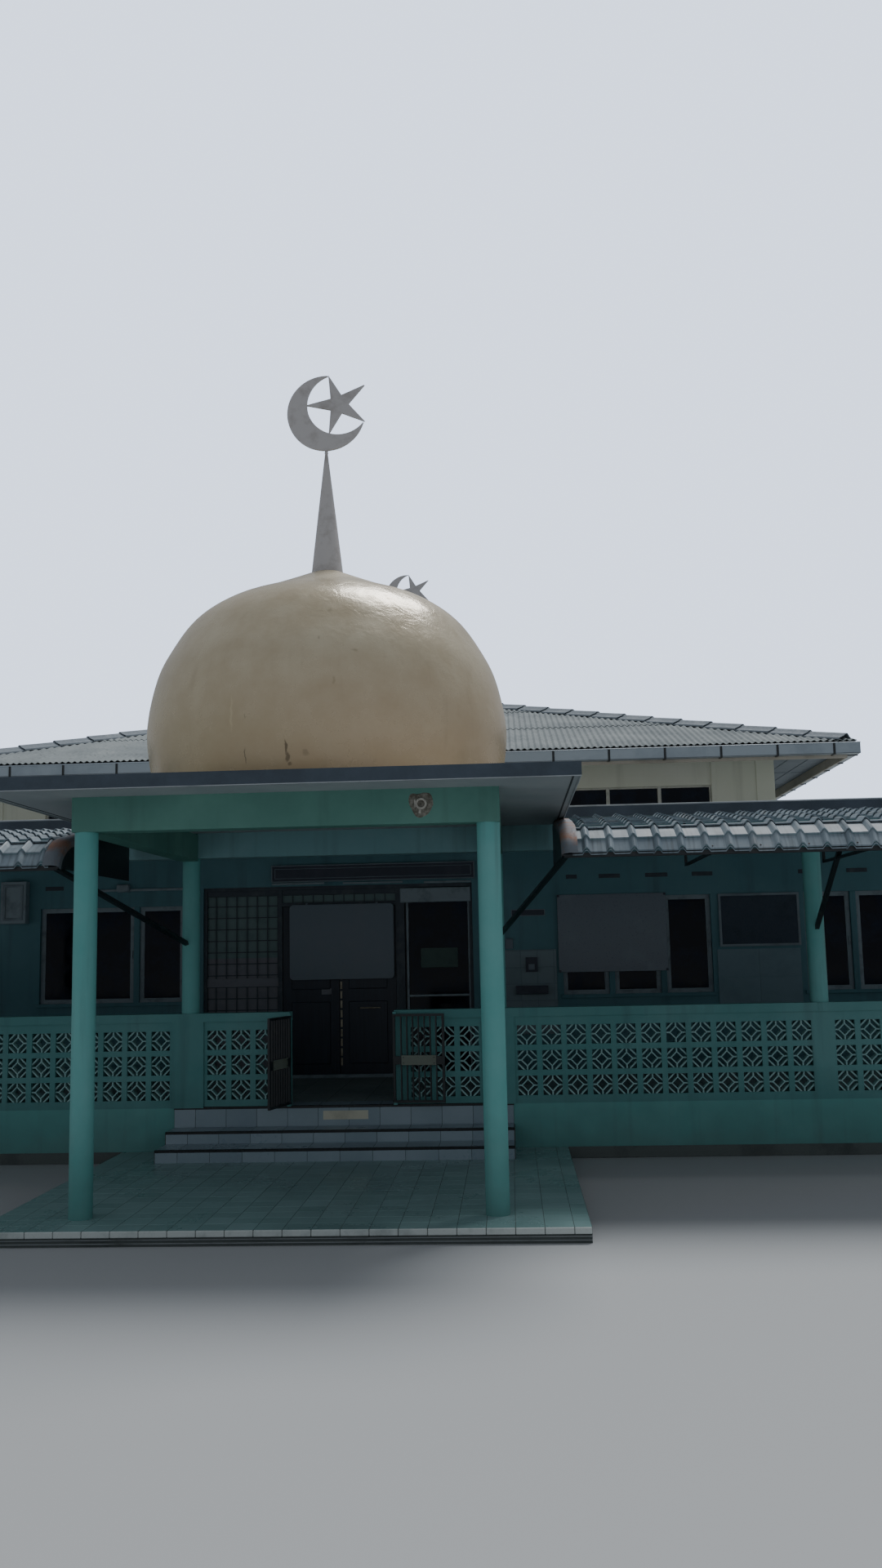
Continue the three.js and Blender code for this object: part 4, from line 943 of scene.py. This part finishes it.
vents = bmesh.new()
for x0, x1 in VENTS:
    add_box(vents, (x0, WALL_FACE - 0.006, 2.885), (x1, WALL_FACE, 2.935), 0.002)
    for z in [2.892 + 2 * SLAT * blade for blade in range(3)]:
        add_box(vents, (x0 + 0.008, WALL_FACE - 0.01, z), (x1 - 0.008, WALL_FACE - 0.006, z + SLAT))
add_piece("wall_vents", vents, "frame_steel", dull_steel)
add_fittings("wall_box_and_duct", "frame_steel", steel_frame, (-3.425, -2.35, 2.855, 2.885, 0.035, 0.004),
             (-3.166, -3.012, 2.845, 2.94, 0.09, 0.012), (-4.614, -4.293, 2.48, 3.003, 0.13, 0.006))
add_rim("wall_box_lid", trim_steel, ((-4.4535, WALL_FACE - 0.142, 2.742), 0.25, 0.44, 0.03, 0.012))


# Awnings: pressed steel tile sheets, nailed in laps to a frame of square tube. The front lap stands
# steep and the others flatten towards the slab. The coat weathered to a patchy pale blue-grey,
# and the faces that look up are darkened as painted shade.
AWNING_NOSE = ((0, 0), (0.07, 0.115), (0.25, 0.225))
AWNING_ROW = 0.2
AWNING_SLOPES = (13, 10, 10, 8, 8, 8, 8, 8)
AWNING_INNER = 2.25
AWNING_OUTER = 8.346
AWNING_BACK = flat_low[1] - 0.003
RIB_PITCH = 0.2
RIB_HEIGHT = 0.038
SHEET_RIBS = 4
SHEET_WIDTH = SHEET_RIBS * RIB_PITCH
SIDE_LAP = 0.009
SIDE_LAP_RISE = 0.006
LAP_STEP = 0.022
LIP = 0.011
TUCK = 0.005
SHEET_SKIN = 0.0015
BEAD_SKIN = 0.003
NAILS = 13

tile_steel, shader, place, add = new_finish("weathered coated steel sheet", 0.6)
broad = add("TexNoise", {"Vector": place, "Scale": 2.2, "Detail": 6, "Roughness": 0.65})
cell = add("VectorMath", {0: place, 1: (RIB_PITCH, RIB_PITCH, NO_JOINT)}, operation="SNAP")
shade = add("TexWhiteNoise", {"Vector": cell})
both = add("Math", {0: shade, 1: 0.25, 2: broad}, operation="MULTIPLY_ADD")
coat = stained(add, "#6b7c87", "#97a5ad", both, 0.45, 0.85)
drawn = add("Mapping", {"Vector": place, "Scale": (34, 2, 2)})
scratch = add("TexNoise", {"Vector": drawn, "Scale": 1, "Detail": 5})
streaked = stained(add, coat, "#4f5a60", scratch, 0.48, 0.72, 0.75)
facing = add("NewGeometry").outputs["Normal"]
facing_up = add("SeparateXYZ", {0: facing}).outputs["Z"]
# Faces that look up are mixed toward a darker grey: painted shade
upward_shade_coat = stained(add, streaked, "#4a555b", facing_up, 0.6, 0.86, 0.42)
rusted = stained(add, upward_shade_coat, "#8a7d72", broad, 0.56, 0.72, 0.45)
dull = add("MapRange", {0: broad, 1: 0.3, 2: 0.7, 3: 0.48, 4: 0.7})
bump = add("Bump", {"Strength": 0.3, "Distance": 0.002, "Height": scratch})
feed(shader, {"Base Color": rusted, "Roughness": dull, "Normal": bump})

awning_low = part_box("awning_sheet_right")[0]
lips = [(awning_low[1] + y, awning_low[2] + 0.02 + z) for y, z in AWNING_NOSE]
for slope in AWNING_SLOPES:
    y, z = lips[-1]
    angle = math.radians(slope)
    lips.append((y + AWNING_ROW * math.cos(angle), z + AWNING_ROW * math.sin(angle)))


def draw_line(mesh, points):
    """A line of edges from point to point."""
    verts = [mesh.verts.new(point) for point in points]
    return [mesh.edges.new(pair) for pair in zip(verts, verts[1:])]


def rib_line(start):
    """The front line of one sheet, raised a little where it laps over the next one."""
    rib = bmesh.new()
    draw_line(rib, [(x, 0, z) for x, z in (
        (0, 0), (0.01, 0), (0.034, RIB_HEIGHT - 0.007), (0.046, RIB_HEIGHT),
        (0.058, RIB_HEIGHT - 0.007), (0.082, 0), (RIB_PITCH, 0))])
    line = bmesh.new()
    pour(line, rib, *[shift(start + i * RIB_PITCH, 0, 0) for i in range(SHEET_RIBS)])
    bmesh.ops.remove_doubles(line, verts=line.verts[:], dist=1e-5)
    for vert in line.verts:
        across = (vert.co.x - start) / SHEET_WIDTH
        vert.co.z += SIDE_LAP_RISE * across
        if across > 0.999:
            vert.co.x += SIDE_LAP
    return line


def sheet_row(x0, x1, first, depth):
    """A row of sheets from its lip at the origin, back along +Y, trimmed to its ends."""
    row = bmesh.new()
    start = first
    while start > x0:
        start -= SHEET_WIDTH
    while start < x1:
        sheet = rib_line(start)
        bmesh.ops.translate(sheet, verts=sheet.verts[:], vec=(0, 0, -LIP))
        fold = pull_edges(sheet, sheet.edges[:], shift(0, 0, LIP))
        if depth:
            pull_edges(sheet, fold, shift(0, depth, 0))
        pour(row, sheet)
        start += SHEET_WIDTH
    trim(row, (x0, 0, 0), (-1, 0, 0))
    trim(row, (x1, 0, 0), (1, 0, 0))
    return row


def add_skin(mesh, sheet, thickness):
    """Gives an open sheet its thickness and adds it to a mesh."""
    face_out(sheet)
    thicken(sheet, thickness)
    pour(mesh, sheet)


nails = bmesh.new()
for side, x0, x1, first, step in (("left", -AWNING_OUTER, -AWNING_INNER, -2.961, -2 * RIB_PITCH),
                                  ("right", AWNING_INNER, AWNING_OUTER, 2.922, 2 * RIB_PITCH)):
    awning = bmesh.new()
    for (y, z), (next_y, next_z) in zip(lips, lips[1:]):
        depth = next_y - y
        row = sheet_row(x0, x1, first, depth + TUCK)
        for vert in row.verts:
            vert.co.z += z + LAP_STEP + (next_z - z - LAP_STEP) * vert.co.y / depth
            vert.co.y += y
        trim(row, (0, AWNING_BACK, 0), (0, 1, 0))
        add_skin(awning, row, SHEET_SKIN)
    y, z = lips[0]
    bead = sheet_row(x0, x1, first, 0)
    bmesh.ops.translate(bead, verts=bead.verts[:], vec=(0, y - 0.002, z))
    add_skin(awning, bead, BEAD_SKIN)
    add_piece("awning_tiles_" + side, awning, "awning_metal", tile_steel, replaces="awning_sheet_" + side)
    for i in range(1, NAILS + 1):
        at = shift(first + i * step + 0.1, y + 0.014, z + LAP_STEP + 0.022)
        add_cone(nails, 8, 0.01, 0.005, 0.008, at @ turn(math.radians(54), "X"))
nail_zinc = weathered("rusted roofing nail", "#4c4641", "#6b4b38", 0.7, 0.3, patch=20)
add_piece("awning_nails", nails, "awning_metal", nail_zinc)
finish_nodes(black_steel, "awning_end_panel_left", "awning_end_panel_right",
             "awning_frame_left", "awning_frame_right")

# A bent flashing closes the inner end of each awning. Its coat has gone, and rust shows in places
FLASHING = ((0.135, 0.03), (0.06, 0.032), (0.02, 0.022), (-0.002, 0.002), (-0.005, -0.05))
FLASHING_BACK = -5.55
rusty = weathered("rusted galvanised flashing", "#767d85", "#8a6858", 0.7, 0.1, patch=4,
                  spread=(0.46, 0.62))
awning_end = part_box("awning_end_panel_right")[0][0]


def smooth_curve(points, steps):
    """A smooth line through the points, with the given steps from each one to the next."""
    points = [Vector(point) for point in points]
    curve = []
    for i in range(len(points) - 1):
        start, end = points[i], points[i + 1]
        leave = (end - points[max(i - 1, 0)]) / 2
        arrive = (points[min(i + 2, len(points) - 1)] - start) / 2
        square = 3 * (end - start) - 2 * leave - arrive
        cubic = 2 * (start - end) + leave + arrive
        for t in [step / steps for step in range(steps)]:
            curve.append(start + leave * t + square * t ** 2 + cubic * t ** 3)
    return [*curve, points[-1]]


flashing = bmesh.new()
bend = smooth_curve([(0, y, z) for y, z in lips], 4)
for sign in (-1, 1):
    strip = bmesh.new()
    ring = draw_line(strip, [(sign * (awning_end + x), 0, z) for x, z in FLASHING])
    last = None
    for here, ahead in zip(bend, bend[1:]):
        lie = shift(*here) @ turn(math.atan2(ahead.z - here.z, ahead.y - here.y), "X")
        if last:
            ring = pull_edges(strip, ring, lie @ last.inverted())
        else:
            bmesh.ops.transform(strip, matrix=lie, verts=strip.verts[:])
        last = lie
    trim(strip, (0, FLASHING_BACK, 0), (0, 1, 0))
    add_skin(flashing, strip, 0.002)
add_piece("awning_end_flashing", flashing, "awning_metal", rusty, smooth=True)

# Light angle-iron uprights reach up to the sheet beside the struts, some with a level bar below
BRACKET_FRONT = -6.94
BRACKET_BACK = -5.3
BRACKET_LEVEL = 2.805
BRACKET_TOP = 3.25
BRACKETS = ((3.43, True), (4.75, False), (6.07, True), (7.86, False))
ANGLE_IRON = 0.025
LEG = 0.005
UPRIGHT_BACK = BRACKET_BACK + 0.006
irons = []
for sign in (-1, 1):
    for x, has_bar in BRACKETS:
        left = sign * x - ANGLE_IRON / 2
        right = left + ANGLE_IRON
        if has_bar:
            irons += [((left, BRACKET_FRONT, BRACKET_LEVEL), (right, BRACKET_BACK, BRACKET_LEVEL + LEG)),
                      ((left, BRACKET_FRONT, BRACKET_LEVEL + LEG),
                       (left + LEG, BRACKET_BACK, BRACKET_LEVEL + ANGLE_IRON))]
        irons += [((left, BRACKET_BACK, BRACKET_LEVEL), (right, UPRIGHT_BACK, BRACKET_TOP)),
                  ((left, UPRIGHT_BACK, BRACKET_LEVEL), (left + LEG, UPRIGHT_BACK + 0.019, BRACKET_TOP))]
add_boxes("awning_brackets", "strut_steel", black_steel, irons)


# Raised hall wall: cream-painted render with bands of small high lights in white-painted frames.
# Two slim mullions part each band, and a shallow rendered panel is sunk beside each corner.
HIGH_SILL = 3.56
HIGH_HEAD = 4
HIGH_HALF = 0.95
HIGH_BAYS = (-3.22, 0, 3.22)
CORNER_BANDS = ((-4.93, -4.72), (-4.235, -4.17), (4.17, 4.235), (4.72, 4.93))
BAND_FOOT = 3.44
BAND_PROUD = 0.015
HALL_MIDDLE = (0.06, 2.85, 0)
HALL_SIDES = [shift(*HALL_MIDDLE) @ turn(QUARTER * quarter, "Z") for quarter in range(4)]
HALL_CEILING = 4.3
HALL_FACE = 4.93
MULLION = 0.022
white_frame = weathered("white paint on steel frame", "#c9ccc4", "#a6a99f", 0.5, patch=8)
high_frames = bmesh.new()
high_panes = bmesh.new()
pilasters = bmesh.new()
for hall_side in HALL_SIDES:
    for x in HIGH_BAYS:
        place = hall_side @ shift(x, -HALL_FACE, 0)
        ring = frame_ring(2 * HIGH_HALF, HIGH_HEAD - HIGH_SILL, MULLION, 0.05)
        pour(high_frames, ring, place @ shift(0, 0.03, (HIGH_HEAD + HIGH_SILL) / 2))
        for at in (-HIGH_HALF / 3, HIGH_HALF / 3):
            add_box(high_frames, (at - MULLION, 0.022, HIGH_SILL), (at + MULLION, 0.09, HIGH_HEAD), 0.003,
                    place)
        add_box(high_panes, (-HIGH_HALF, 0.056, HIGH_SILL), (HIGH_HALF, 0.062, HIGH_HEAD), 0, place)
        reach = HIGH_HALF + SILL_REACH
        add_box(pilasters, (-reach, -0.02, HIGH_SILL - 0.03), (reach, 0.02, HIGH_SILL), 0.004, place)
    for x0, x1 in CORNER_BANDS:
        add_box(pilasters, (x0, -HALL_FACE - BAND_PROUD, BAND_FOOT), (x1, -HALL_FACE, HALL_CEILING), 0.003,
                hall_side)
add_piece("high_window_frames", high_frames, "frame_steel", white_frame)
add_piece("high_window_panes", high_panes, "dark_glass", tinted_glass, replaces="upper_glass")
add_piece("hall_wall_bands", pilasters, "cream_masonry", cream_paint)


# Eaves: flat ceiling boards with cover strips, a cream trim, and a square gutter of coated sheet
# with a rolled lip that hangs in steel straps.
EAVE_HALF = 5.774
GUTTER_TOP = 4.345
GUTTER_FLOOR = 4.23
GUTTER_SHEET = 0.008
STRIP_HALF = 0.015
STRIP_THICK = 0.006
STRAP_HALF = 0.013
STRAP_FOOT = 4.212
STRAP_PITCH = 0.652
STRAP_FIRST = 0.256


def level_ring(mesh, half, border, top, depth, ease=0):
    """A square ring that lies level round the middle of the hall."""
    lie = shift(*HALL_MIDDLE) @ shift(0, 0, top) @ turn(-QUARTER, "X")
    pour(mesh, frame_ring(2 * half, 2 * half, border, depth, ease), lie)


ceiling_board = weathered("off-white ceiling board", "#8c97a4", "#7e8894", 0.8, patch=2)
finish_nodes(ceiling_board, "hall_ceiling", "hall_fascia")
strips = bmesh.new()
for half in (5.17, 5.42):
    level_ring(strips, half, 2 * STRIP_HALF, HALL_CEILING, STRIP_THICK)
for hall_side in HALL_SIDES:
    for x in [step * 1.22 for step in range(-4, 5)]:
        add_box(strips, (x - STRIP_HALF, -5.6, HALL_CEILING - STRIP_THICK),
                (x + STRIP_HALF, -HALL_FACE, HALL_CEILING), 0, hall_side)
add_piece("ceiling_cover_strips", strips, "ceiling_board", ceiling_board)
eave_paint = weathered("cream paint on a timber board", "#b3aea4", "#989389", 0.6, patch=3)
trim_ring = bmesh.new()
level_ring(trim_ring, 5.65, 0.022, HALL_CEILING, 0.115, 0.004)
add_piece("eave_trim", trim_ring, "cream_masonry", eave_paint)

gutter_coat = weathered("coated gutter steel", "#98a4ae", "#7e8a94", 0.4, 0.15, patch=1.5)
gutter = bmesh.new()
level_ring(gutter, EAVE_HALF, GUTTER_SHEET, GUTTER_TOP, 0.125, 0.002)
level_ring(gutter, EAVE_HALF, 0.122, GUTTER_FLOOR, GUTTER_SHEET, 0.002)
level_ring(gutter, 5.662, GUTTER_SHEET, GUTTER_TOP, 0.117, 0.002)
level_ring(gutter, EAVE_HALF + 0.004, 0.02, GUTTER_TOP + 0.012, 0.018, 0.006)
add_piece("gutter_trough", gutter, "gutter_metal", gutter_coat, replaces="hall_gutter")
straps = bmesh.new()
for hall_side in HALL_SIDES:
    for x in [STRAP_FIRST + step * STRAP_PITCH for step in range(-9, 9)]:
        left, right = x - STRAP_HALF, x + STRAP_HALF
        for low, high in (((left, -EAVE_HALF - 0.005, STRAP_FOOT), (right, -EAVE_HALF, GUTTER_TOP)),
                          ((left, -EAVE_HALF, STRAP_FOOT), (right, -5.655, STRAP_FOOT + 0.008))):
            add_box(straps, low, high, 0, hall_side)
add_piece("gutter_straps", straps, "strut_steel", black_steel)


# Hipped roof: small-wave corrugated fibre cement sheets in four laps, each nailed over the one below.
# Angled ridge caps with a rounded crown cover the hips in laps, and a square cap closes the top.
ROOF_HALF = 5.72
ROOF_PITCH = 0.318
ROOF_EDGE = 4.405
SHEET_LAP = 1.83
LAP_OVER = 0.15
LAP_RISE = 0.009
WAVE = 0.075
WAVE_HEIGHT = 0.0095
EAVE_REACH = 0.03
SHEET_THICK = 0.006

cement_sheet, shader, place, add = new_finish("weathered fibre cement sheet", 0.85)
lichen = add("TexNoise", {"Vector": place, "Scale": 1.3, "Detail": 8, "Roughness": 0.68})
coat = stained(add, "#727b7e", "#8f9798", lichen, 0.4, 0.66)
spots = add("TexNoise", {"Vector": place, "Scale": 9, "Detail": 6, "Roughness": 0.7})
colour = stained(add, coat, "#4c5356", spots, 0.55, 0.72, 0.7)
bump = add("Bump", {"Strength": 0.5, "Distance": 0.003, "Height": spots})
feed(shader, {"Base Color": colour, "Normal": bump})

slope_angle = math.atan(ROOF_PITCH)
slope_length = ROOF_HALF / math.cos(slope_angle)
roof_side = bmesh.new()
waves = math.ceil(2 * ROOF_HALF / WAVE)
length = SHEET_LAP + LAP_OVER
for lap in range(math.ceil(slope_length / SHEET_LAP)):
    start = lap * SHEET_LAP - EAVE_REACH
    sheet = bmesh.new()
    spread = shift(0, start + length / 2, 0) @ Matrix.Diagonal((waves * WAVE, length, 1, 1))
    bmesh.ops.create_grid(sheet, x_segments=8 * waves, y_segments=1, size=0.5, matrix=spread)
    for vert in sheet.verts:
        rise = LAP_RISE * (1 - (vert.co.y - start) / length)
        vert.co.z = WAVE_HEIGHT * math.cos(math.tau * vert.co.x / WAVE) + rise
    for sign in (1, -1):
        trim(sheet, (sign * ROOF_HALF, 0, 0), (sign * slope_length, ROOF_HALF, 0))
    thicken(sheet, SHEET_THICK)
    pour(roof_side, sheet)
roof = bmesh.new()
lie = shift(0, -ROOF_HALF, ROOF_EDGE - 0.022) @ turn(slope_angle, "X")
pour(roof, roof_side, *[hall_side @ lie for hall_side in HALL_SIDES])
add_piece("roof_sheets", roof, "cement_sheet", cement_sheet, replaces="hall_roof")

CAP_PITCH = 0.487
CAP_LENGTH = 0.54
CAP_HALF_SECTION = ((0.165, -0.045), (0.155, -0.025), (0.06, 0.012), (0.045, 0.026), (0.02, 0.04))
CAP_SECTION = (*[(-x, z) for x, z in CAP_HALF_SECTION], (0, 0.044), *reversed(CAP_HALF_SECTION))
CAP_THICK = 0.008
TOP_CAP = 6.164
cap_paint = weathered("slate cement ridge cap", "#78828a", "#979fa4", 0.8, patch=4, grain=40, relief=0.002)
cap = bmesh.new()
last = None
for x, z in CAP_SECTION:
    pair = (cap.verts.new((x, 0, z + 0.02)), cap.verts.new((x * 0.92, CAP_LENGTH, z)))
    if last:
        cap.faces.new((last[0], pair[0], pair[1], last[1]))
    last = pair
foot = Vector((ROOF_HALF, -ROOF_HALF, ROOF_EDGE))
along = Vector((-1, 1, ROOF_PITCH)).normalized()
aside = along.cross(Vector((0, 0, 1))).normalized()
upward = aside.cross(along)
lie = Matrix((aside, along, upward)).transposed().to_4x4()
hip_length = ROOF_HALF * math.sqrt(2 + ROOF_PITCH ** 2)
hips = bmesh.new()
solid_cap = bmesh.new()
add_skin(solid_cap, cap, CAP_THICK)
places = [shift(*foot + along * (0.1 + step * CAP_PITCH) - upward * 0.012) @ lie
          for step in range(int((hip_length - 0.35) / CAP_PITCH))]
pour(hips, solid_cap, *[hall_side @ place for hall_side in HALL_SIDES for place in places])
top = bmesh.new()
add_cone(top, 4, 0.46, 0.33, 0.13, shift(*HALL_MIDDLE) @ shift(0, 0, TOP_CAP) @ turn(QUARTER / 2, "Z"))
ease_edges(top, top.edges[:], 0.012, 2)
pour(hips, top)
add_piece("hip_caps", hips, "cement_sheet", cap_paint, smooth=True)


# Dome: thin sheet beaten over ribs and painted beige gold, creased where it was bent in by hand.
# The gloss paint is darkened low down, olive on the left, as painted shade and a painted reflection,
# and it has small dark marks, a rust smear and a split seam at the front.
DOME_MIDDLE = Vector((0.145, -6.65, 3.37))
DOME_OUTLINE = ((1.49, 0), (1.555, 0.31), (1.575, 0.62), (1.5, 1.01), (1.38, 1.27), (1.2, 1.53),
                (0.95, 1.715), (0.6, 1.86), (0.15, 2.06))
DOME_STEPS = 6
DOME_AROUND = 224
CREASES = Vector((0.76, -7.62, 4.95))
CREASE_REACH = 0.4
CREASE_DEPTH = 0.012
BEATEN = 0.004
DOME_MARKS = (
    ("#554833", 0.75, (0.027, -8.18, 3.61), (0.013, 0.2, 0.065)),
    ("#5d503a", 0.7, (0.04, -8.165, 3.54), (0.018, 0.2, 0.045)),
    ("#6a5c45", 0.6, (0.06, -8.165, 3.485), (0.018, 0.2, 0.02)),
    ("#6d6450", 0.75, (-0.298, -8.11, 3.555), (0.007, 0.2, 0.08)),
    ("#7a705a", 0.5, (-0.292, -8.11, 3.86), (0.008, 0.2, 0.03)),
    ("#d3c5a2", 0.45, (-0.406, -8.11, 3.9), (0.012, 0.2, 0.17)),
    ("#8a7a5f", 0.5, (0.18, -8.18, 3.557), (0.03, 0.2, 0.03)),
    ("#8a7a5f", 0.3, (0.406, -8.18, 4.116), (0.01, 0.2, 0.04)),
    ("#8f846c", 0.35, (0.562, -8.09, 4.371), (0.03, 0.2, 0.013)),
    ("#7f745f", 0.35, (0.277, -8.1, 4.474), (0.011, 0.2, 0.02)),
    ("#8f846c", 0.35, (0.341, -7.96, 4.736), (0.022, 0.2, 0.02)))

gold, shader, place, add = new_finish("beige gold paint on sheet", 0.32, 0.22)
mottle = add("TexNoise", {"Vector": place, "Scale": 2.6, "Detail": 7, "Roughness": 0.62})
coat = stained(add, "#c0b296", "#cdc2a8", mottle, 0.36, 0.66)
where = add("SeparateXYZ", {0: place}).outputs
# Low down the coat turns darker, olive on the left: painted shade and a painted reflection
low_shade_and_reflection = stained(add, "#9c8a62", "#bb9a74", where["X"], -0.9, 0.7)
coat_with_low_shade = stained(add, coat, low_shade_and_reflection, where["Z"], 3.4, 4.5, 0, 0.6)
tall = add("Mapping", {"Vector": place, "Scale": (11, 11, 0.8)})
runs = add("TexNoise", {"Vector": tall, "Scale": 1, "Detail": 5})
run_coat = stained(add, coat_with_low_shade, "#8a7c63", runs, 0.58, 0.85, 0.2)
specks = add("TexNoise", {"Vector": place, "Scale": 8, "Detail": 9, "Roughness": 0.75})
painted = stained(add, run_coat, "#6f6654", specks, 0.68, 0.78, 0.35)
ragged = add("TexNoise", {"Vector": place, "Scale": 16, "Detail": 5}).outputs["Color"]
shifted = add("VectorMath", {0: ragged, 1: (0.05,) * 3, 2: place}, operation="MULTIPLY_ADD")
for stain, most, centre, reach in DOME_MARKS:
    centre = Vector(centre) + Vector((0.025,) * 3)
    away = add("VectorMath", {0: shifted, 1: centre}, operation="SUBTRACT")
    scaled = add("VectorMath", {0: away, 1: reach}, operation="DIVIDE")
    far = add("VectorMath", {0: scaled}, operation="LENGTH")
    painted = stained(add, painted, stain, far, 0.5, 1, 0, most)
gloss = add("MapRange", {0: mottle, 1: 0.3, 2: 0.7, 3: 0.2, 4: 0.32})
hammer = add("TexNoise", {"Vector": place, "Scale": 7, "Detail": 3})
hollows = add("Bump", {"Strength": 0.25, "Distance": 0.008, "Height": hammer})
crinkle = add("TexNoise", {"Vector": place, "Scale": 8, "Detail": 4, "Roughness": 0.6, "Distortion": 0.5})
from_crease = add("VectorMath", {0: place, 1: CREASES}, operation="DISTANCE")
crinkled = add("MapRange", {0: from_crease, 1: 0.2, 2: 1.7, 3: 0.6, 4: 0.2})
bump = add("Bump", {"Strength": crinkled, "Distance": 0.012, "Height": crinkle, "Normal": hollows})
feed(shader, {"Base Color": painted, "Roughness": gloss, "Normal": bump})


def spun(outline, steps, middle):
    """A closed turned shape from the radius and height of each point of its outline."""
    shape = bmesh.new()
    draw_line(shape, [(radius, 0, z) for radius, z in outline])
    spin_round(shape, steps)
    bmesh.ops.translate(shape, verts=shape.verts[:], vec=middle)
    return shape


curve = smooth_curve([(radius, z, 0) for radius, z in DOME_OUTLINE], DOME_STEPS)
outline = [(0, 0), *[(point.x, point.y) for point in curve], (0, DOME_OUTLINE[-1][1])]
dome = spun(outline, DOME_AROUND, DOME_MIDDLE)
for vert in dome.verts:
    away = Vector((vert.co.x - DOME_MIDDLE.x, vert.co.y - DOME_MIDDLE.y, 0))
    if away.length > 0.3 and vert.co.z > DOME_MIDDLE.z + 0.01:
        dent = BEATEN * (abs(noise.noise(vert.co * 1.7)) + abs(noise.noise(vert.co * 6)) / 2)
        near = max(0, 1 - (vert.co - CREASES).length / CREASE_REACH)
        fold = noise.noise(Vector((vert.co.x * 13, vert.co.y * 4, vert.co.z * 4)))
        dent += CREASE_DEPTH * near * max(0, 1 - 4 * abs(fold))
        vert.co -= away.normalized() * dent
add_piece("dome_skin", dome, "gold_paint", gold, smooth=True, replaces="dome")


# Finials: sheet cones with a welded crescent and star, once bronze paint and now dull grey-brown.
# One stands on the dome and a taller one on the top of the hipped roof.
SPIRE_FOOT = 0.143
old_bronze = weathered("dull bronze paint on steel", "#bfbcbb", "#a39e9a", 0.42, 0.2, patch=7)
for name in ("dome", "hall"):
    low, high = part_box(name + "_spire")
    height = high[2] - low[2]
    outline = ((0, 0), (SPIRE_FOOT, 0), (0.0775, height / 2), (0.014, height - 0.03),
               (0.018, height - 0.02), (0.012, height), (0, height))
    spire = spun(outline, 64, ((low[0] + high[0]) / 2, (low[1] + high[1]) / 2, low[2]))
    add_piece(name + "_spire_cone", spire, "bronze_paint", old_bronze, smooth=True,
              replaces=name + "_spire")
    crescent = bmesh.new()
    crescent.from_mesh(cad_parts[name + "_crescent_star"].data)
    bmesh.ops.remove_doubles(crescent, verts=crescent.verts[:], dist=1e-5)
    ease_edges(crescent, [edge for edge in crescent.edges if edge.calc_face_angle(0) > 1], 0.0015)
    add_piece(name + "_crescent", crescent, "bronze_paint", old_bronze, replaces=name + "_crescent_star")
